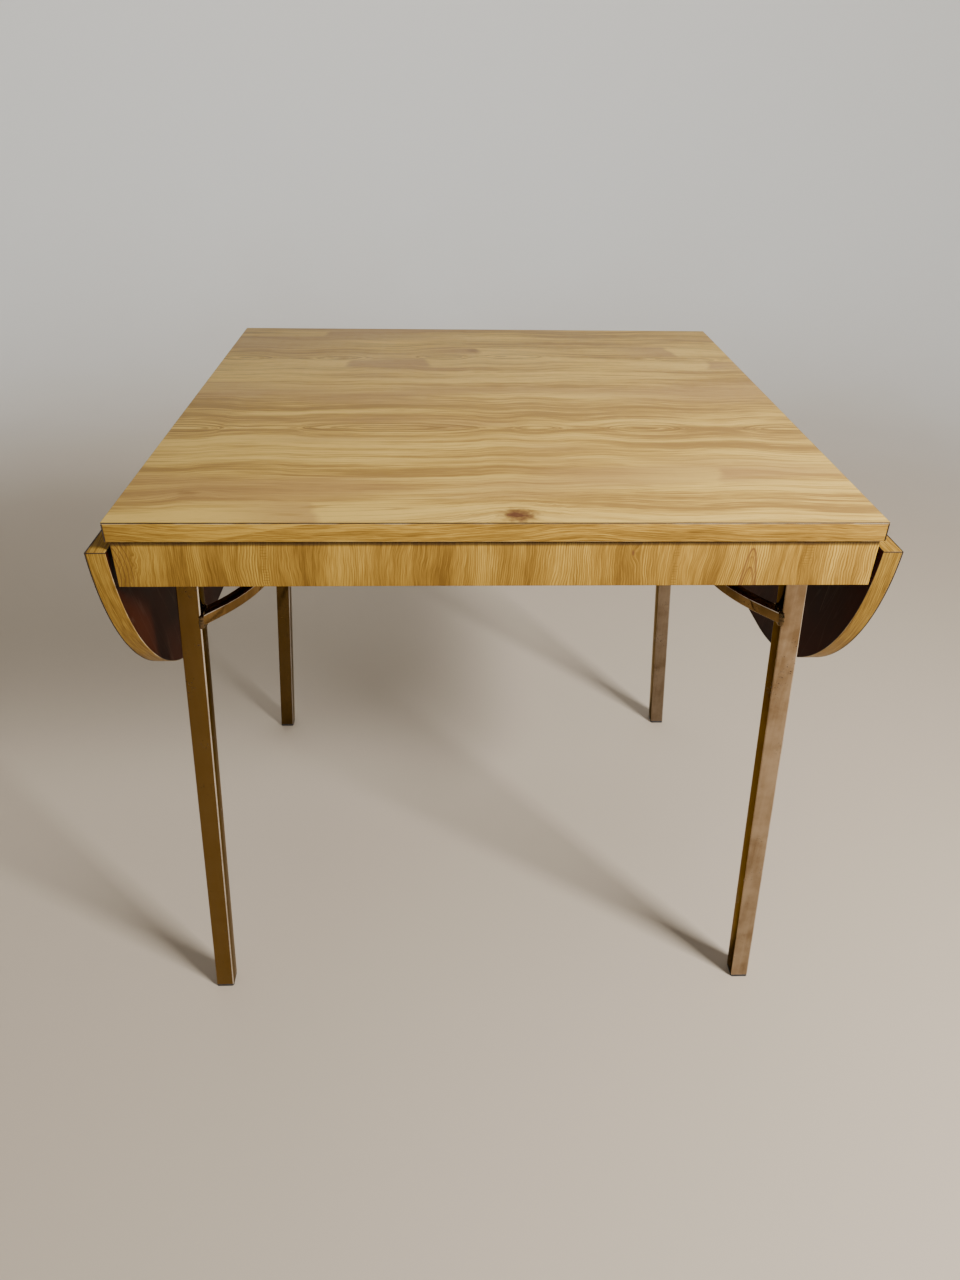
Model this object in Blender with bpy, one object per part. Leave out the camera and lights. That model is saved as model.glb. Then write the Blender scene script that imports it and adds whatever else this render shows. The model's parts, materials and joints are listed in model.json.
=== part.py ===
"""Drop-leaf dining table: a square laminate top, two hanging leaves and a splayed chrome tube frame.

Metres, +Z up. The origin is on the floor under the middle of the top, +X points to the right-hand leaf
and -Y to the front. The leaves hang at rest and turn up about their hinge pins, which lie along Y.
"""
from math import asin, cos, hypot, pi, radians, sin, sqrt, tan

import bmesh
import bpy
from mathutils import Vector

# Top
TOP_WIDTH = 0.762
TOP_DEPTH = 0.762
TABLE_HEIGHT = 0.762
CORE_THICKNESS = 0.018
LAMINATE = 0.001
BACKER = 0.0008
EDGE_STRIP = 0.001
CLEARANCE = 0.0003

# Leaves
LEAF_DROP = 0.254
LEAF_CORNER_RADIUS = 0.280
LEAF_CORNER_STEPS = 16
LEAF_OFFSET = 0.002
JOINT_GAP = 0.0005

# Aprons and corner blocks
APRON_HEIGHT = 0.051
APRON_THICKNESS = 0.018
APRON_SETBACK = 0.004
APRON_END_INSET = 0.003
BLOCK_LEG = 0.040
BLOCK_INSET = 0.004

# Legs, leg plates and glides
LEG_SIZE = 0.024
LEG_WALL = 0.0015
LEG_CORNER_RADIUS = 0.0025
LEG_SPLAY = radians(4.0)
LEG_GAP_X = 0.015
LEG_GAP_Y = 0.039
LEG_PLATE_SIZE = 0.070
LEG_PLATE_THICKNESS = 0.003
LEG_SCREW_INSET = 0.010
GLIDE_HEIGHT = 0.004
GLIDE_PLUG = 0.015

# Stretchers
STRETCHER_SIZE = 0.014
STRETCHER_WALL = 0.0012
STRETCHER_CORNER_RADIUS = 0.003
STRETCHER_DROP = 0.075
STRETCHER_ANGLE = radians(38.0)
STRETCHER_BEND_RADIUS = 0.200
STRETCHER_STUB = 0.020
STRETCHER_BEND_STEPS = 6

# Hinges
HINGE_END_INSET = 0.141
HINGE_LENGTH = 0.060
HINGE_WIDTH = 0.028
HINGE_PLATE = 0.002
KNUCKLE_RADIUS = 0.0045
PIN_RADIUS = 0.0022
PIN_CLEARANCE = 0.0001
NECK_HALF = 0.0015
HINGE_SCREW_DOWN = 0.018
HINGE_SCREW_PITCH = 0.036

# Stay arms, which hold a raised leaf
STAY_Y = 0.0
STAY_ANGLE = radians(27.0)
STAY_WIDTH = 0.010
STAY_THICKNESS = 0.003
STAY_CLEAR = 0.0025
STAY_EYE_OUT = 0.001
STAY_FOOT_LENGTH = 0.034
STAY_FOOT_WIDTH = 0.022
STAY_FOOT_THICKNESS = 0.0025
STAY_SCREW_PITCH = 0.018

# Slide bolts, knobs and guides
BOLT_RADIUS = 0.002
BOLT_REST_GAP = 0.003
BOLT_PAST = 0.004
EAR_THICKNESS = 0.002
EAR_PITCH = 0.026
EAR_RIM = 0.004
GUIDE_PLATE = 0.002
GUIDE_MARGIN = 0.001
GUIDE_SCREW_PITCH = 0.014
KNOB_RADIUS = 0.0045
KNOB_LENGTH = 0.012
KNOB_BORE = 0.008

# Facets
ROUND_STEPS = 12
CORNER_STEPS = 2
SMOOTH_ANGLE = radians(35.0)

# Screw holes in the plates
HOLE_RADIUS = 0.0019
HOLE_DEPTH = 0.0045
HOLE_SIDES = 8
HOLE_PAST = 0.001

# Heights of the top's layers
LAMINATE_BOTTOM = TABLE_HEIGHT - LAMINATE
CORE_TOP = LAMINATE_BOTTOM - CLEARANCE
CORE_BOTTOM = CORE_TOP - CORE_THICKNESS
BACKER_TOP = CORE_BOTTOM - CLEARANCE
UNDERSIDE = BACKER_TOP - BACKER
SLAB = TABLE_HEIGHT - UNDERSIDE
EDGE_COVER = EDGE_STRIP + CLEARANCE

# Hinge pins and the planes that the hinge plates seat on
HINGE_SEAT = KNUCKLE_RADIUS + HINGE_PLATE + CLEARANCE
LEAF_INNER_X = TOP_WIDTH / 2 + LEAF_OFFSET
PIN_X = LEAF_INNER_X - HINGE_SEAT
PIN_Z = UNDERSIDE - HINGE_SEAT
JOINT_Z = PIN_Z - (HINGE_SEAT - LEAF_OFFSET) - JOINT_GAP
HINGE_Y = TOP_DEPTH / 2 - HINGE_END_INSET

# Aprons
APRON_TOP = UNDERSIDE - CLEARANCE
APRON_BOTTOM = APRON_TOP - APRON_HEIGHT
APRON_OUTER_X = PIN_X - HINGE_SEAT
APRON_INNER_X = APRON_OUTER_X - APRON_THICKNESS
APRON_OUTER_Y = TOP_DEPTH / 2 - APRON_SETBACK
APRON_INNER_Y = APRON_OUTER_Y - APRON_THICKNESS

# Legs
PLATE_TOP = UNDERSIDE - CLEARANCE
PLATE_BOTTOM = PLATE_TOP - LEG_PLATE_THICKNESS
LEG_TOP = PLATE_BOTTOM - CLEARANCE
LEG_BOTTOM = GLIDE_HEIGHT + CLEARANCE
LEG_TOP_X = APRON_INNER_X - LEG_GAP_X - LEG_SIZE / 2
LEG_Y = APRON_INNER_Y - LEG_GAP_Y - LEG_SIZE / 2
PLATE_OUTER_X = APRON_INNER_X - LEG_GAP_X / 2
STRETCHER_Z = APRON_BOTTOM - STRETCHER_DROP

# Stay arm: in the raised leaf it runs from an eye under the hinge pin up to the leaf's underside
PIN_ABOVE_APRON = PIN_Z - APRON_BOTTOM
STAY_RADIUS = hypot(HINGE_SEAT + APRON_THICKNESS, PIN_ABOVE_APRON) + STAY_CLEAR + STAY_WIDTH / 2
EYE_DROP = STAY_RADIUS / cos(STAY_ANGLE)
STAY_REACH = STAY_RADIUS / sin(STAY_ANGLE)
STAY_FOOT_FACE = HINGE_SEAT - CLEARANCE

# Slide bolt
BOLT_X = PIN_X + STAY_EYE_OUT
BOLT_Z = PIN_Z - EYE_DROP
BOLT_TIP = STAY_Y - STAY_THICKNESS / 2 - BOLT_REST_GAP
BOLT_TRAVEL = BOLT_REST_GAP + STAY_THICKNESS + BOLT_PAST
EAR_NEAR = BOLT_TIP - GUIDE_MARGIN - EAR_THICKNESS
EAR_FAR = EAR_NEAR - EAR_PITCH
KNOB_FACE = EAR_FAR - BOLT_TRAVEL - GUIDE_MARGIN
GUIDE_TOP = APRON_BOTTOM - CLEARANCE

SIDES = {"left": -1, "right": 1}
ENDS = {"front": -1, "back": 1}

# Finishes: colour, roughness, metallic
WOOD_PRINT = ((0.56, 0.36, 0.16), 0.38, 0.0)
EDGE_PRINT = ((0.50, 0.30, 0.10), 0.40, 0.0)
CHIPBOARD = ((0.46, 0.32, 0.18), 0.85, 0.0)
BROWN_SHEET = ((0.075, 0.022, 0.012), 0.32, 0.0)
SOLID_WOOD = ((0.50, 0.34, 0.18), 0.65, 0.0)
CHROME = ((0.72, 0.68, 0.63), 0.14, 1.0)
STEEL = ((0.46, 0.46, 0.45), 0.35, 1.0)
BLACK_PLASTIC = ((0.015, 0.015, 0.015), 0.45, 0.0)


def clear_scene():
    """Remove every object that the scene starts with."""
    for item in list(bpy.data.objects):
        bpy.data.objects.remove(item, do_unlink=True)


def add_finish(item, look):
    """Give an object its own material."""
    colour, roughness, metallic = look
    material = bpy.data.materials.new(item.name + "_finish")
    material.use_nodes = True
    shader = material.node_tree.nodes["Principled BSDF"]
    shader.inputs["Base Color"].default_value = (*colour, 1.0)
    shader.inputs["Roughness"].default_value = roughness
    shader.inputs["Metallic"].default_value = metallic
    item.data.materials.append(material)


def add_axis(name, location):
    """An empty on a joint's axis, which the pieces that move about it hang from."""
    axis = bpy.data.objects.new(name, None)
    axis.location = location
    bpy.context.collection.objects.link(axis)
    return axis


def add_piece(name, shape, look=None, axis=None, smooth=False):
    """Make an object from a bmesh in world coordinates, with its origin on its axis if it has one."""
    bmesh.ops.recalc_face_normals(shape, faces=shape.faces)
    mesh = bpy.data.meshes.new(name)
    if axis is not None:
        bmesh.ops.translate(shape, verts=shape.verts, vec=-axis.location)
    shape.to_mesh(mesh)
    shape.free()
    item = bpy.data.objects.new(name, mesh)
    bpy.context.collection.objects.link(item)
    item.parent = axis
    if smooth:
        mesh.shade_smooth()
        mesh.set_sharp_from_angle(angle=SMOOTH_ANGLE)
    if look is not None:
        add_finish(item, look)
    return item


def add_cutter(name, shape, axis=None):
    """A guide shape for cuts, which is no piece of the table."""
    cutter = add_piece(name, shape, axis=axis)
    cutter.hide_render = True
    cutter.display_type = "WIRE"
    return cutter


def cut(item, cutter):
    """Cut the cutter's shape out of an object."""
    modifier = item.modifiers.new("cut_" + cutter.name, "BOOLEAN")
    modifier.operation = "DIFFERENCE"
    modifier.solver = "EXACT"
    modifier.object = cutter


def fuse(item, guide):
    """Join a guide's shape to an object."""
    modifier = item.modifiers.new("fuse_" + guide.name, "BOOLEAN")
    modifier.operation = "UNION"
    modifier.solver = "EXACT"
    modifier.object = guide


def add_box(shape, low, high):
    """Add a box between two corners."""
    low, high = Vector(low), Vector(high)
    made = bmesh.ops.create_cube(shape, size=1.0)
    for vertex in made["verts"]:
        vertex.co = Vector((co + 0.5) * (b - a) + a for co, a, b in zip(vertex.co, low, high))


def box_piece(name, low, high, look):
    """One box as an object."""
    shape = bmesh.new()
    add_box(shape, low, high)
    return add_piece(name, shape, look)


def add_loops(shape, loops, capped=True):
    """Skin a row of equal loops of points, with flat ends if capped."""
    rows = [[shape.verts.new(point) for point in loop] for loop in loops]
    count = len(rows[0])
    for row, following in zip(rows, rows[1:]):
        for i in range(count):
            j = (i + 1) % count
            shape.faces.new((row[i], row[j], following[j], following[i]))
    if capped:
        shape.faces.new(rows[0])
        shape.faces.new(rows[-1])
    return rows


def add_tube(shape, outer, inner):
    """Skin a tube, open at both ends, from its outer and inner loops."""
    outer_rows = add_loops(shape, outer, capped=False)
    inner_rows = add_loops(shape, inner, capped=False)
    count = len(outer_rows[0])
    for end in (0, -1):
        for i in range(count):
            j = (i + 1) % count
            ring = (outer_rows[end][i], outer_rows[end][j], inner_rows[end][j], inner_rows[end][i])
            shape.faces.new(ring)


def add_cells(shape, points, faces, levels, filled, place):
    """Build a solid from flat faces stacked between levels; filled(face, step) says where material is."""
    verts = {}

    def vertex(point, level):
        key = (point, level)
        if key not in verts:
            verts[key] = shape.verts.new(place(points[point], levels[level]))
        return verts[key]

    owners = {}
    for number, face in enumerate(faces):
        for i, point in enumerate(face):
            edge = frozenset((point, face[(i + 1) % len(face)]))
            owners.setdefault(edge, []).append(number)
    steps = len(levels) - 1
    for step in range(steps):
        for number, face in enumerate(faces):
            if not filled(number, step):
                continue
            for end, neighbour in ((step, step - 1), (step + 1, step + 1)):
                if not 0 <= neighbour < steps or not filled(number, neighbour):
                    shape.faces.new([vertex(point, end) for point in face])
            for i, point in enumerate(face):
                following = face[(i + 1) % len(face)]
                others = [n for n in owners[frozenset((point, following))] if n != number]
                if not any(filled(n, step) for n in others):
                    shape.faces.new((vertex(point, step), vertex(following, step),
                                     vertex(following, step + 1), vertex(point, step + 1)))


def circle(radius, steps, start=0.0):
    """Points round a circle."""
    return [(radius * cos(start + 2 * pi * i / steps), radius * sin(start + 2 * pi * i / steps))
            for i in range(steps)]


def rounded_square(size, radius, steps=CORNER_STEPS):
    """Points round a square with round corners, centred on zero."""
    points = []
    inner = size / 2 - radius
    for corner in range(4):
        centre_angle = pi / 4 + corner * pi / 2
        middle = (inner * round(cos(centre_angle) * sqrt(2)), inner * round(sin(centre_angle) * sqrt(2)))
        for i in range(steps + 1):
            angle = corner * pi / 2 + i * pi / 2 / steps
            points.append((middle[0] + radius * cos(angle), middle[1] + radius * sin(angle)))
    return points


def add_rod(shape, centre, radius, low, high, steps=ROUND_STEPS):
    """Add a round rod along Y."""
    ring = circle(radius, steps, pi / steps)
    loops = [[(centre[0] + a, y, centre[1] + b) for a, b in ring] for y in (low, high)]
    add_loops(shape, loops)


def hole_cutter(name, seats, axis=None):
    """A cutter for screw holes, each from a point on a plate's face and the direction out of that face."""
    shape = bmesh.new()
    ring = circle(HOLE_RADIUS, HOLE_SIDES, pi / HOLE_SIDES)
    for seat, direction in seats:
        out = Vector(direction)
        across = out.orthogonal().normalized()
        beside = out.cross(across)
        add_loops(shape, [[Vector(seat) + out * height + across * a + beside * b for a, b in ring]
                          for height in (-HOLE_DEPTH, HOLE_PAST)])
    return add_cutter(name, shape, axis)


def leg_x(height):
    """Distance of a splayed leg's middle from the table's middle plane, at a height."""
    return LEG_TOP_X + (LEG_TOP - height) * tan(LEG_SPLAY)


def leg_loops(side, end, size, radius, heights):
    """Level loops round a leg's section at some heights."""
    section = rounded_square(size, radius)
    return [[(side * (leg_x(z) + a), end * LEG_Y + b, z) for a, b in section] for z in heights]


def make_top():
    """The top's core, sheets and edge strips."""
    half_x, half_y = TOP_WIDTH / 2, TOP_DEPTH / 2
    core_x, core_y = half_x - EDGE_COVER, half_y - EDGE_COVER
    box_piece("top_core", (-core_x, -core_y, CORE_BOTTOM), (core_x, core_y, CORE_TOP), CHIPBOARD)
    box_piece("top_backer", (-core_x, -core_y, UNDERSIDE), (core_x, core_y, BACKER_TOP), BROWN_SHEET)
    box_piece("top_laminate", (-half_x, -half_y, LAMINATE_BOTTOM), (half_x, half_y, TABLE_HEIGHT),
              WOOD_PRINT)
    for name, side in SIDES.items():
        xs = sorted((side * half_x, side * (half_x - EDGE_STRIP)))
        box_piece("top_%s_edge" % name, (xs[0], -half_y, UNDERSIDE), (xs[1], half_y, CORE_TOP), EDGE_PRINT)
    for name, end in ENDS.items():
        ys = sorted((end * half_y, end * (half_y - EDGE_STRIP)))
        box_piece("top_%s_edge" % name, (-core_x, ys[0], UNDERSIDE), (core_x, ys[1], CORE_TOP), EDGE_PRINT)


def make_aprons():
    """Front and back aprons across the whole width, and side aprons between them."""
    long_x = TOP_WIDTH / 2 - APRON_END_INSET
    for name, end in ENDS.items():
        ys = sorted((end * APRON_OUTER_Y, end * APRON_INNER_Y))
        box_piece(name + "_apron", (-long_x, ys[0], APRON_BOTTOM), (long_x, ys[1], APRON_TOP), WOOD_PRINT)
    side_y = APRON_INNER_Y - CLEARANCE
    for name, side in SIDES.items():
        xs = sorted((side * APRON_OUTER_X, side * APRON_INNER_X))
        box_piece(name + "_apron", (xs[0], -side_y, APRON_BOTTOM), (xs[1], side_y, APRON_TOP),
                  WOOD_PRINT)


def make_corner_blocks():
    """A three-cornered block in each corner between the aprons."""
    low, high = APRON_BOTTOM + BLOCK_INSET, PLATE_BOTTOM - CLEARANCE
    corner_x, corner_y = APRON_INNER_X - CLEARANCE, APRON_INNER_Y - CLEARANCE
    outline = ((corner_x, corner_y), (corner_x - BLOCK_LEG, corner_y), (corner_x, corner_y - BLOCK_LEG))
    for end_name, end in ENDS.items():
        for side_name, side in SIDES.items():
            shape = bmesh.new()
            add_loops(shape, [[(side * x, end * y, z) for x, y in outline] for z in (low, high)])
            add_piece("%s_%s_corner_block" % (end_name, side_name), shape, SOLID_WOOD)


def leg_screw_seats(side, end):
    """Where the screws go through a leg plate."""
    seats = []
    for x in (PLATE_OUTER_X - LEG_SCREW_INSET, PLATE_OUTER_X - LEG_PLATE_SIZE + LEG_SCREW_INSET):
        for y in (-1, 1):
            across = y * (LEG_PLATE_SIZE / 2 - LEG_SCREW_INSET)
            seats.append(((side * x, end * LEG_Y + across, PLATE_BOTTOM), (0, 0, -1)))
    return seats


def make_legs():
    """Four tube legs, each with its screwed plate and its plug-in glide."""
    inner_size = LEG_SIZE - 2 * LEG_WALL
    inner_radius = LEG_CORNER_RADIUS - LEG_WALL / 2
    plug_size = inner_size - 2 * CLEARANCE
    for end_name, end in ENDS.items():
        for side_name, side in SIDES.items():
            corner = "%s_%s" % (end_name, side_name)
            shape = bmesh.new()
            add_tube(shape, leg_loops(side, end, LEG_SIZE, LEG_CORNER_RADIUS, (LEG_BOTTOM, LEG_TOP)),
                     leg_loops(side, end, inner_size, inner_radius, (LEG_BOTTOM, LEG_TOP)))
            add_piece(corner + "_leg", shape, CHROME, smooth=True)
            xs = sorted((side * PLATE_OUTER_X, side * (PLATE_OUTER_X - LEG_PLATE_SIZE)))
            ys = (end * LEG_Y - LEG_PLATE_SIZE / 2, end * LEG_Y + LEG_PLATE_SIZE / 2)
            plate = box_piece(corner + "_leg_plate", (xs[0], ys[0], PLATE_BOTTOM),
                              (xs[1], ys[1], PLATE_TOP), STEEL)
            cut(plate, hole_cutter(corner + "_plate_holes", leg_screw_seats(side, end)))
            base = leg_loops(side, end, LEG_SIZE, LEG_CORNER_RADIUS, (0.0, GLIDE_HEIGHT))
            plug = leg_loops(side, end, plug_size, inner_radius, (GLIDE_HEIGHT, GLIDE_HEIGHT + GLIDE_PLUG))
            shape = bmesh.new()
            add_loops(shape, base + plug)
            add_piece(corner + "_glide", shape, BLACK_PLASTIC)


def stretcher_path():
    """Stations in plan from the front leg to the straight middle: (out, along) and the angle to Y."""
    bend, radius = STRETCHER_ANGLE, STRETCHER_BEND_RADIUS
    out = leg_x(STRETCHER_Z) - LEG_SIZE / 2
    stations = [((out, -LEG_Y), bend)]
    out, along = out - STRETCHER_STUB * sin(bend), -LEG_Y + STRETCHER_STUB * cos(bend)
    for i in range(STRETCHER_BEND_STEPS + 1):
        angle = bend * (1 - i / STRETCHER_BEND_STEPS)
        point = (out - radius * (cos(angle) - cos(bend)), along + radius * (sin(bend) - sin(angle)))
        stations.append((point, angle))
    return stations


def stretcher_loops(side, size, radius):
    """Loops of a stretcher's section along its path, with its ends cut along the legs' inner faces."""
    section = rounded_square(size, radius)
    half = stretcher_path()
    path = half + [((x, -y), -angle) for (x, y), angle in reversed(half)]
    loops = []
    for number, ((out, along), angle) in enumerate(path):
        loop = []
        for a, b in section:
            x, y, z = out + a * cos(angle), along + a * sin(angle), STRETCHER_Z + b
            if number in (0, len(path) - 1):
                shift = (leg_x(z) - LEG_SIZE / 2 - CLEARANCE - x) / sin(angle)
                x, y = x + shift * sin(angle), y - shift * cos(angle)
            loop.append((side * x, y, z))
        loops.append(loop)
    return loops


def make_stretchers():
    """A bowed tube between the front and back leg of each side."""
    inner_size = STRETCHER_SIZE - 2 * STRETCHER_WALL
    inner_radius = STRETCHER_CORNER_RADIUS - STRETCHER_WALL / 2
    for name, side in SIDES.items():
        shape = bmesh.new()
        add_tube(shape, stretcher_loops(side, STRETCHER_SIZE, STRETCHER_CORNER_RADIUS),
                 stretcher_loops(side, inner_size, inner_radius))
        add_piece(name + "_stretcher", shape, CHROME, smooth=True)


def leaf_outline(inset, start):
    """Points of the leaf's rim, from one end of the joint edge round to the other, as (down, along).

    The rim is moved inwards by inset and begins at a distance start below the joint edge.
    """
    radius = LEAF_CORNER_RADIUS - inset
    centre_down = LEAF_DROP - LEAF_CORNER_RADIUS
    centre_along = TOP_DEPTH / 2 - LEAF_CORNER_RADIUS
    first = asin(max(start - centre_down, 0.0) / radius)
    half = []
    if start < centre_down:
        half.append((start, centre_along + radius))
    for i in range(LEAF_CORNER_STEPS + 1):
        angle = first + (pi / 2 - first) * i / LEAF_CORNER_STEPS
        half.append((centre_down + radius * sin(angle), centre_along + radius * cos(angle)))
    return [(down, -along) for down, along in half] + [(down, along) for down, along in reversed(half)]


def leaf_point(side, down, along, depth):
    """World point on a hanging leaf: down from the joint edge, along Y, and out from the underside."""
    return (side * (LEAF_INNER_X + depth), along, JOINT_Z - down)


def leaf_sheet(name, side, axis, look, inset, start, depths):
    """One flat layer of a leaf."""
    shape = bmesh.new()
    outline = leaf_outline(inset, start)
    add_loops(shape, [[leaf_point(side, down, along, depth) for down, along in outline]
                      for depth in depths])
    add_piece(name, shape, look, axis, smooth=True)


def make_leaf(name, side, axis):
    """A leaf's core, sheets and edge strips."""
    backer_depth = BACKER + CLEARANCE
    core_depth = backer_depth + CORE_THICKNESS
    laminate_depth = core_depth + CLEARANCE
    leaf_sheet(name + "_leaf_backer", side, axis, BROWN_SHEET, EDGE_COVER, EDGE_COVER,
               (0.0, BACKER))
    leaf_sheet(name + "_leaf_core", side, axis, CHIPBOARD, EDGE_COVER, EDGE_COVER,
               (backer_depth, core_depth))
    leaf_sheet(name + "_leaf_laminate", side, axis, WOOD_PRINT, 0.0, 0.0, (laminate_depth, SLAB))
    ends = [point[1] for point in leaf_outline(0.0, 0.0)]
    shape = bmesh.new()
    low = leaf_point(side, EDGE_STRIP, min(ends), 0.0)
    high = leaf_point(side, 0.0, max(ends), core_depth)
    add_box(shape, [min(pair) for pair in zip(low, high)], [max(pair) for pair in zip(low, high)])
    add_piece(name + "_leaf_joint_strip", shape, EDGE_PRINT, axis)
    outer, inner = leaf_outline(0.0, EDGE_COVER), leaf_outline(EDGE_STRIP, EDGE_COVER)
    shape = bmesh.new()
    add_loops(shape, [[leaf_point(side, *outer[i], 0.0), leaf_point(side, *outer[i], core_depth),
                       leaf_point(side, *inner[i], core_depth), leaf_point(side, *inner[i], 0.0)]
                      for i in range(len(outer))])
    add_piece(name + "_leaf_rim", shape, EDGE_PRINT, axis, smooth=True)


def hinge_section():
    """Section of a hinge plate with its knuckle, round the pin, with the plate on the negative side.

    The first face is the flat plate, and the others make the knuckle and the neck that carries it.
    """
    bore = PIN_RADIUS + PIN_CLEARANCE
    seat = KNUCKLE_RADIUS + HINGE_PLATE
    start = pi - asin(NECK_HALF / KNUCKLE_RADIUS)
    angles = [start - 2 * start * i / ROUND_STEPS for i in range(ROUND_STEPS + 1)]
    outer = [(KNUCKLE_RADIUS * cos(a), KNUCKLE_RADIUS * sin(a)) for a in angles]
    inner = [(bore * cos(a), bore * sin(a)) for a in angles]
    shoulder = KNUCKLE_RADIUS + 2 * CLEARANCE
    points = outer + inner + [(-seat, -HINGE_WIDTH), (-KNUCKLE_RADIUS, -HINGE_WIDTH),
                              (-KNUCKLE_RADIUS, -shoulder), (-seat, -shoulder),
                              (-seat, NECK_HALF), (-KNUCKLE_RADIUS, -NECK_HALF), (-bore, 0.0)]
    count = ROUND_STEPS + 1
    plate = 2 * count
    faces = [(plate, plate + 1, plate + 2, plate + 3)]
    faces += [(i, i + 1, count + i + 1, count + i) for i in range(ROUND_STEPS)]
    faces.append((plate + 3, plate + 2, plate + 5, count - 1, 2 * count - 1, plate + 6, count, 0,
                  plate + 4))
    return points, faces


def hinge_plate(name, side, end, toward, knuckle_steps, axis=None):
    """One plate of a hinge with its knuckles, on the apron (toward -1) or on the leaf (toward 1)."""
    points, faces = hinge_section()
    middle = end * HINGE_Y
    knuckle = HINGE_LENGTH / 3
    levels = [middle - HINGE_LENGTH / 2]
    for boundary in (middle - knuckle / 2, middle + knuckle / 2):
        levels += [boundary - CLEARANCE / 2, boundary + CLEARANCE / 2]
    levels.append(middle + HINGE_LENGTH / 2)
    shape = bmesh.new()
    add_cells(shape, points, faces, levels,
              lambda face, step: face == 0 or step in knuckle_steps,
              lambda point, y: (side * (PIN_X - toward * point[0]), y, PIN_Z + point[1]))
    plate = add_piece(name, shape, STEEL, axis, smooth=True)
    seats = []
    for across in (-1, 1):
        seat = (side * (PIN_X + toward * KNUCKLE_RADIUS), middle + across * HINGE_SCREW_PITCH / 2,
                PIN_Z - HINGE_SCREW_DOWN)
        seats.append((seat, (-side * toward, 0, 0)))
    cut(plate, hole_cutter(name + "_holes", seats, axis))


def make_hinges(name, side, axis):
    """Two butt hinges: the outer knuckles are on the apron's plate and the middle one on the leaf's."""
    for end_name, end in ENDS.items():
        hinge = "%s_%s_hinge" % (end_name, name)
        hinge_plate(hinge + "_fixed_plate", side, end, -1, (0, 4))
        hinge_plate(hinge + "_leaf_plate", side, end, 1, (2,), axis)
        ys = [end * HINGE_Y + across * HINGE_LENGTH / 2 for across in (-1, 1)]
        shape = bmesh.new()
        add_rod(shape, (side * PIN_X, PIN_Z), PIN_RADIUS, *ys)
        add_piece(hinge + "_pin", shape, STEEL, smooth=True)


def stay_seats(side):
    """Where the screws go through the stay arm's foot."""
    x = side * (PIN_X + STAY_FOOT_FACE - STAY_FOOT_THICKNESS)
    y = STAY_Y + (STAY_FOOT_WIDTH + STAY_THICKNESS) / 2
    return [((x, y, PIN_Z - STAY_REACH + across * STAY_SCREW_PITCH / 2), (-side, 0, 0))
            for across in (-1, 1)]


def make_stay(name, side, axis):
    """A flat arm from its foot on the leaf's underside to the eye that the slide bolt enters."""
    eye = Vector((-EYE_DROP, -STAY_EYE_OUT))
    foot = Vector((STAY_FOOT_FACE - STAY_FOOT_THICKNESS / 2, -STAY_REACH))
    along = (eye - foot).normalized()
    across = Vector((-along.y, along.x)) * STAY_WIDTH / 2
    turn = [along * sin(a) * STAY_WIDTH / 2 + across * cos(a) for a in
            (pi * i / (ROUND_STEPS // 2) for i in range(ROUND_STEPS // 2 + 1))]
    outline = [eye + step for step in turn] + [foot - across, foot + across]
    outline = [Vector((min(point.x, STAY_FOOT_FACE), point.y)) for point in outline]
    ys = (STAY_Y - STAY_THICKNESS / 2, STAY_Y + STAY_THICKNESS / 2)
    shape = bmesh.new()
    add_loops(shape, [[(side * (PIN_X + p.x), y, PIN_Z + p.y) for p in outline] for y in ys])
    arm = add_piece(name + "_stay_arm", shape, STEEL, axis)
    foot_x = PIN_X + STAY_FOOT_FACE
    xs = sorted((side * (foot_x - STAY_FOOT_THICKNESS), side * foot_x))
    foot_z = (PIN_Z - STAY_REACH - STAY_FOOT_LENGTH / 2, PIN_Z - STAY_REACH + STAY_FOOT_LENGTH / 2)
    shape = bmesh.new()
    add_box(shape, (xs[0], ys[0], foot_z[0]), (xs[1], ys[1] + STAY_FOOT_WIDTH, foot_z[1]))
    fuse(arm, add_cutter(name + "_stay_foot_guide", shape, axis))
    shape = bmesh.new()
    centre = (side * (PIN_X + eye.x), PIN_Z + eye.y)
    add_rod(shape, centre, BOLT_RADIUS + CLEARANCE, ys[0] - HOLE_PAST, ys[1] + HOLE_PAST)
    cut(arm, add_cutter(name + "_stay_eye_guide", shape, axis))
    cut(arm, hole_cutter(name + "_stay_holes", stay_seats(side), axis))


def guide_seats(side):
    """Where the screws go through a bolt guide's flange."""
    x = side * (APRON_OUTER_X + APRON_INNER_X) / 2
    middle = (EAR_FAR + EAR_NEAR + EAR_THICKNESS) / 2
    return [((x, middle + across * GUIDE_SCREW_PITCH / 2, GUIDE_TOP - GUIDE_PLATE), (0, 0, -1))
            for across in (-1, 1)]


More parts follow.
